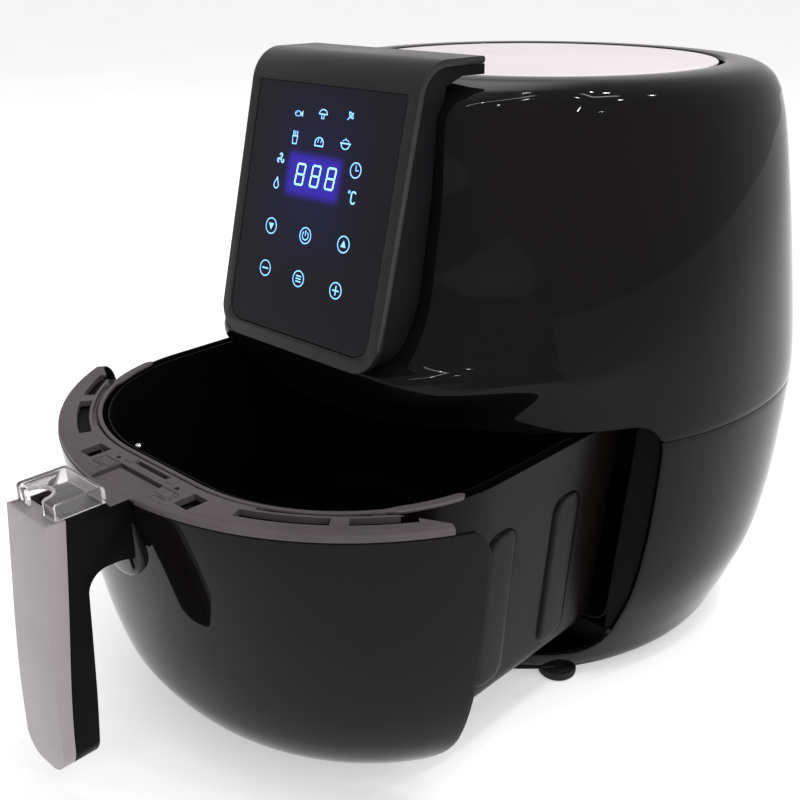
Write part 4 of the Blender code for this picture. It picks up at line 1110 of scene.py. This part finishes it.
def plate_outline(half, low, high, radius, steps=16):
    """A plate with its two lower corners rounded, in (across, up)."""
    right = arc((half - radius, low + radius), radius, -90, 0, steps)
    left = arc((-half + radius, low + radius), radius, 180, 270, steps)
    return left + right + [(half, high), (-half, high)]


def panel_prism(name, outline, near, far, material):
    """A plate that lies in the panel's plane, between two depths."""
    rings = [[panel_point(x, up, depth) for x, up in outline] for depth in (near, far)]
    return loft(name, rings, material, "body")


def glass_outline(room, low_radius, high_radius):
    """The pane's outline, or its seat's with some room round the pane."""
    half, low, high = GLASS_HALF + room, GLASS_BOTTOM - room, GLASS_TOP + room
    return rounded((-half, low), (half, high), [low_radius, low_radius, high_radius, high_radius], 16)


def make_bezel():
    """The panel's cover plate, bent back over the top, and the glass in it."""
    rounding = BEZEL_THICK / 2
    end = arc((PANEL_BACK_Y - rounding, PANEL_TOP - rounding), rounding, 90, -90, 10)
    side = panel_curve(0.0) + end + panel_curve(BEZEL_THICK)[::-1]
    bezel = prism("bezel_cover", side, "X", -PANEL_HALF, PANEL_HALF, PANEL_SATIN, "body")
    plate = plate_outline(PANEL_HALF + 0.0001, -0.0001, 0.20, 0.015)
    boolean(bezel, panel_prism("bezel_outline", plate, -0.05, 0.15, INNER_BLACK), "INTERSECT")
    seat = glass_outline(GLASS_ROOM, 0.009, 0.0012)
    boolean(bezel, panel_prism("glass_seat", seat, -0.01, 0.0014, INNER_BLACK))
    finish(bezel, 0.0007, 4, 35.0, SMOOTH_ANGLE)
    stands_for(bezel, "control_bezel")
    glass = panel_prism("glass_pane", glass_outline(0.0, 0.0087, 0.0010), 0.0001, 0.0011, GLASS)
    bevel(glass, GLASS_ROOM, 2)
    stands_for(glass, "display_glass")


make_bezel()


# ---------------------------------------------------------------- symbols on the glass
class Symbols:
    """Flat shapes on the panel's face, gathered as one piece. Sizes are in millimetres."""

    def __init__(self, name, material):
        self.name, self.material = name, material
        self.points, self.faces = [], []

    def area(self, outline):
        start = len(self.points)
        self.points += [panel_point(x / 1000, up / 1000, -INK_HEIGHT) for x, up in outline]
        self.faces.append(tuple(range(start, len(self.points))))

    def line(self, points, width):
        """Straight strokes from point to point, with square ends."""
        for (x0, y0), (x1, y1) in zip(points, points[1:]):
            length = math.hypot(x1 - x0, y1 - y0)
            u, v = (x1 - x0) / length * width / 2, (y1 - y0) / length * width / 2
            start = [(x0 - u + v, y0 - v - u), (x0 - u - v, y0 - v + u)]
            end = [(x1 + u + v, y1 + v - u), (x1 + u - v, y1 + v + u)]
            self.area([start[0], *end, start[1]])

    def curve(self, centre, radius, start, end, width, squash=1.0):
        steps = max(6, int(abs(end - start) / 10))
        outer = arc((0, 0), radius + width / 2, start, end, steps)
        inner = arc((0, 0), radius - width / 2, start, end, steps)
        for k in range(steps):
            quad = (outer[k], outer[k + 1], inner[k + 1], inner[k])
            self.area([(centre[0] + x, centre[1] + y * squash) for x, y in quad])

    def dot(self, centre, radius):
        self.area(arc(centre, radius, 0, 345, 23))

    def make(self):
        new_piece(self.name, self.points, self.faces, self.material, "body", 0)


def draw_digit(ink, centre, height=9.6, width=5.2, stroke=0.85, slant=0.10):
    """A seven-segment eight."""
    half, tall = width / 2, height / 2
    gap = stroke * 0.75

    def at(x, y):
        return (centre[0] + x + slant * y, centre[1] + y)

    for y in (-tall, 0.0, tall):
        ink.line([at(-half + gap, y), at(half - gap, y)], stroke)
    for x in (-half, half):
        for low, high in ((-tall, 0.0), (0.0, tall)):
            ink.line([at(x, low + gap), at(x, high - gap)], stroke)


KEYS = {"down": (-26.4, 56.1), "power": (-1.8, 55.4), "up": (23.8, 55.7),
        "minus": (-26.5, 35.6), "menu": (-2.3, 34.9), "plus": (23.3, 34.4)}
DIGIT_CENTRES = ((-11.3, 82.6), (-1.0, 82.9), (9.2, 83.1))


def draw_key(ink, centre, kind):
    """A touch key: a ring with a sign in it."""
    x, y = centre
    ink.curve(centre, 3.7, 0, 360, 0.55)
    if kind in ("up", "down"):
        way = 1 if kind == "up" else -1
        ink.area([(x - 1.7, y - 1.3 * way), (x + 1.7, y - 1.3 * way), (x, y + 1.9 * way)])
    elif kind in ("minus", "plus"):
        ink.line([(x - 1.8, y), (x + 1.8, y)], 0.7)
        if kind == "plus":
            ink.line([(x, y - 1.9), (x, y - 0.4)], 0.7)
            ink.line([(x, y + 0.4), (x, y + 1.9)], 0.7)
    elif kind == "power":
        ink.curve(centre, 2.0, 125, 415, 0.55)
        ink.line([(x, y + 0.2), (x, y + 2.2)], 0.6)
    elif kind == "menu":
        for step in (-1.3, 0.0, 1.3):
            ink.line([(x - 1.5, y + step), (x + 1.5, y + step)], 0.6)


def draw_food(ink):
    """Six simple dishes: a fish, a mushroom, a leaf, a cup of chips, a loaf and a pot."""
    x, y = -18.6, 109.8
    ink.curve((x, y), 1.9, 0, 360, 0.55, 0.62)
    ink.area([(x + 1.7, y), (x + 3.4, y + 1.6), (x + 3.4, y - 1.4)])
    ink.dot((x - 0.8, y + 0.3), 0.3)
    x, y = -1.7, 111.0
    ink.curve((x, y), 2.6, 0, 180, 0.6, 0.8)
    ink.line([(x - 2.6, y), (x + 2.6, y)], 0.55)
    ink.line([(x - 0.8, y - 0.2), (x - 0.8, y - 1.9), (x + 0.8, y - 1.9), (x + 0.8, y - 0.2)], 0.5)
    x, y = 16.0, 111.5
    ink.curve((x - 0.9, y - 0.6), 2.6, 5, 95, 0.55)
    ink.curve((x + 1.7, y + 2.0), 2.6, 185, 275, 0.55)
    ink.line([(x - 1.6, y - 1.3), (x + 1.6, y + 1.7)], 0.5)
    x, y = -18.4, 98.6
    rim_left, rim_right = (x - 1.7, y + 0.9), (x + 1.7, y + 0.9)
    ink.line([rim_left, (x - 1.3, y - 2.6), (x + 1.3, y - 2.6), rim_right, rim_left], 0.5)
    for step in (-1.2, 0.0, 1.2):
        ink.line([(x + step, y + 1.2), (x + step * 1.15, y + 3.0)], 0.6)
    x, y = -1.7, 98.6
    ink.curve((x, y - 0.4), 2.7, 0, 180, 0.6, 0.85)
    ink.line([(x - 2.7, y - 0.4), (x - 2.7, y - 1.9), (x + 2.7, y - 1.9), (x + 2.7, y - 0.4)], 0.6)
    for step in (-1.0, 1.0):
        ink.line([(x + step, y - 0.2), (x + step + 0.5, y + 1.0)], 0.45)
    x, y = 15.4, 99.2
    ink.curve((x, y + 0.4), 2.7, 180, 360, 0.6, 0.9)
    ink.line([(x - 3.1, y + 0.5), (x + 3.1, y + 0.5)], 0.6)
    ink.curve((x, y + 0.8), 2.2, 20, 160, 0.5, 0.6)
    ink.dot((x, y + 2.5), 0.35)


def draw_signs(ink):
    """The fan, the flame, the clock and the degree sign round the digits."""
    x, y = -26.2, 88.1
    for turn in (90, 210, 330):
        blade = (x + 1.6 * math.cos(math.radians(turn)), y + 1.6 * math.sin(math.radians(turn)))
        ink.curve(blade, 0.8, turn - 200, turn + 90, 0.75)
    ink.dot((x, y), 0.5)
    x, y = -27.0, 76.4
    ink.curve((x, y - 0.7), 1.6, 130, 410, 0.6)
    ink.line([(x - 1.2, y + 0.5), (x + 0.3, y + 2.8), (x + 1.1, y + 0.5)], 0.6)
    x, y = 24.3, 88.9
    ink.curve((x, y), 3.3, 0, 360, 0.55)
    ink.line([(x, y + 2.0), (x, y), (x + 1.6, y)], 0.5)
    x, y = 24.6, 77.0
    ink.curve((x - 2.2, y + 2.2), 0.55, 0, 360, 0.4)
    ink.curve((x + 0.8, y + 1.2), 1.35, 20, 180, 0.75)
    ink.line([(x - 0.55, y + 1.2), (x - 0.55, y - 1.4)], 0.75)
    ink.curve((x + 0.8, y - 1.4), 1.35, 180, 340, 0.75)


def make_symbols():
    ink = Symbols("panel_symbols", SYMBOL_BLUE)
    for kind, centre in KEYS.items():
        draw_key(ink, centre, kind)
    draw_food(ink)
    draw_signs(ink)
    ink.make()
    digits = Symbols("panel_digits", DIGIT_BLUE)
    for centre in DIGIT_CENTRES:
        draw_digit(digits, centre)
    digits.make()


make_symbols()


# ---------------------------------------------------------------- materials of the CAD nodes that stay
KEPT = (  # (material, what the names of the nodes start with)
    (INNER_BLACK, ("base_plate", "cord_inlet", "drawer_frame", "guide_rail", "microswitch", "rear_vent")),
    (INNER_BLACK, ("cooling_fan",)),
    (RING_GREY, ("basket_bracket",)),
    (BLOCK_BLACK, ("panel_block",)),
    (HANDLE_SILVER, ("release_latch", "switch_plunger")),
    # the liner's near-black colour is painted shade for the body's shadowed inside
    (LINER_PAINTED_SHADE, ("inner_liner",)),
    (HOT_STEEL, ("heater_dish", "heating_coil")),
    (STEEL, ("exhaust_duct", "motor_bracket", "convection_fan", "fan_shaft", "temperature_sensor")),
    (STEEL, ("thermal_fuse", "button_spring", "base_screw", "coil_clip")),
    (RIVET_STEEL, ("bracket_rivet",)),
    (COPPER, ("fan_motor",)),
    (BOARD, ("power_board", "display_board")),
)
SOFTENED = {"panel_block": 0.0010, "cord_inlet": 0.0006, "rear_vent": 0.0003, "drawer_frame": 0.0005}
for name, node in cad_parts.items():
    for material, starts in KEPT:
        if name.startswith(starts):
            node.data.materials.clear()
            node.data.materials.append(material)
    if name in SOFTENED:
        bevel(node, SOFTENED[name], 3)


# ---------------------------------------------------------------- floor, light and camera
def make_floor():
    radius, sides = 14.0, 96
    turns = [math.tau * k / sides for k in range(sides)]
    points = [(radius * math.cos(t), radius * math.sin(t), -0.0002) for t in turns]
    mesh = bpy.data.meshes.new("floor")
    mesh.from_pydata(points, [], [tuple(range(sides))])
    s = Shading("floor_white").set(Roughness=0.9, Emission_Color=(1.0, 1.0, 1.0, 1.0), Emission_Strength=0.42)
    s.drive("Base Color", s.ramp(s.noise(3.0), (0.80, 0.80, 0.80), (0.84, 0.84, 0.84)))
    mesh.materials.append(s.material)
    floor = bpy.data.objects.new("floor", mesh)
    bpy.context.scene.collection.objects.link(floor)


def area_light(name, location, size, power, colour=(1.0, 1.0, 1.0), glossy=True):
    light = bpy.data.lights.new(name, "AREA")
    light.shape = "RECTANGLE"
    light.size, light.size_y = size
    light.energy = power
    light.color = colour
    lamp = bpy.data.objects.new(name, light)
    lamp.location = location
    lamp.visible_glossy = glossy
    lamp.rotation_euler = (Vector(MIDDLE) - Vector(location)).to_track_quat("-Z", "Y").to_euler()
    bpy.context.scene.collection.objects.link(lamp)


MIDDLE = (0.0, 0.0, 0.16)  # the lights aim here
SOFT_LIGHTS = (  # (name, place, size, power, colour), hidden from reflections
    ("overhead", (0.0, 0.1, 1.9), (1.8, 1.4), 8.0, (1.0, 1.0, 1.0)),
    ("front_left", (-1.5, -1.3, 1.0), (0.9, 1.2), 1.0, (1.0, 1.0, 1.0)),
    ("right", (1.7, -0.5, 0.9), (0.9, 1.2), 10.0, (1.0, 0.94, 0.90)),
    ("rear", (-0.6, 1.8, 1.2), (1.2, 0.8), 6.0, (1.0, 1.0, 1.0)),
)
CEILING_LAMPS = ((0.77, -0.22), (1.36, 0.33), (1.10, 0.99), (1.98, -0.33), (0.44, 0.66))
LAMP_HEIGHT = 2.2


def make_light():
    """Soft light that leaves no shapes on the gloss, with a strip and small lamps that do."""
    world = bpy.data.worlds.new("studio")
    bpy.context.scene.world = world
    world.use_nodes = True
    background = world.node_tree.nodes["Background"]
    background.inputs["Color"].default_value = (1.0, 0.97, 0.985, 1.0)
    background.inputs["Strength"].default_value = 0.60
    for name, place, size, power, colour in SOFT_LIGHTS:
        area_light(name, place, size, power, colour, glossy=False)
    area_light("ceiling_strip", (0.75, -0.15, 2.3), (1.5, 0.10), 9.0)
    for x, y in CEILING_LAMPS:
        area_light("ceiling_lamp", (x, y, LAMP_HEIGHT), (0.05, 0.05), 2.4)


def make_camera():
    azimuth, elevation, distance = math.radians(43.37), math.radians(22.918), 0.5739
    target = Vector((0.0, -0.1101, 0.1474)) + BODY
    level = math.cos(elevation)
    back = Vector((math.sin(azimuth) * level, -math.cos(azimuth) * level, math.sin(elevation)))
    data = bpy.data.cameras.new("camera")
    data.sensor_width = 36.0
    data.lens = 47.52405
    data.clip_start, data.clip_end = 0.01, 60.0
    camera = bpy.data.objects.new("camera", data)
    camera.location = target + back * distance
    camera.rotation_euler = (-back).to_track_quat("-Z", "Y").to_euler()
    bpy.context.scene.collection.objects.link(camera)
    bpy.context.scene.camera = camera


make_floor()
make_light()
make_camera()
bpy.context.scene.view_settings.view_transform = "Standard"
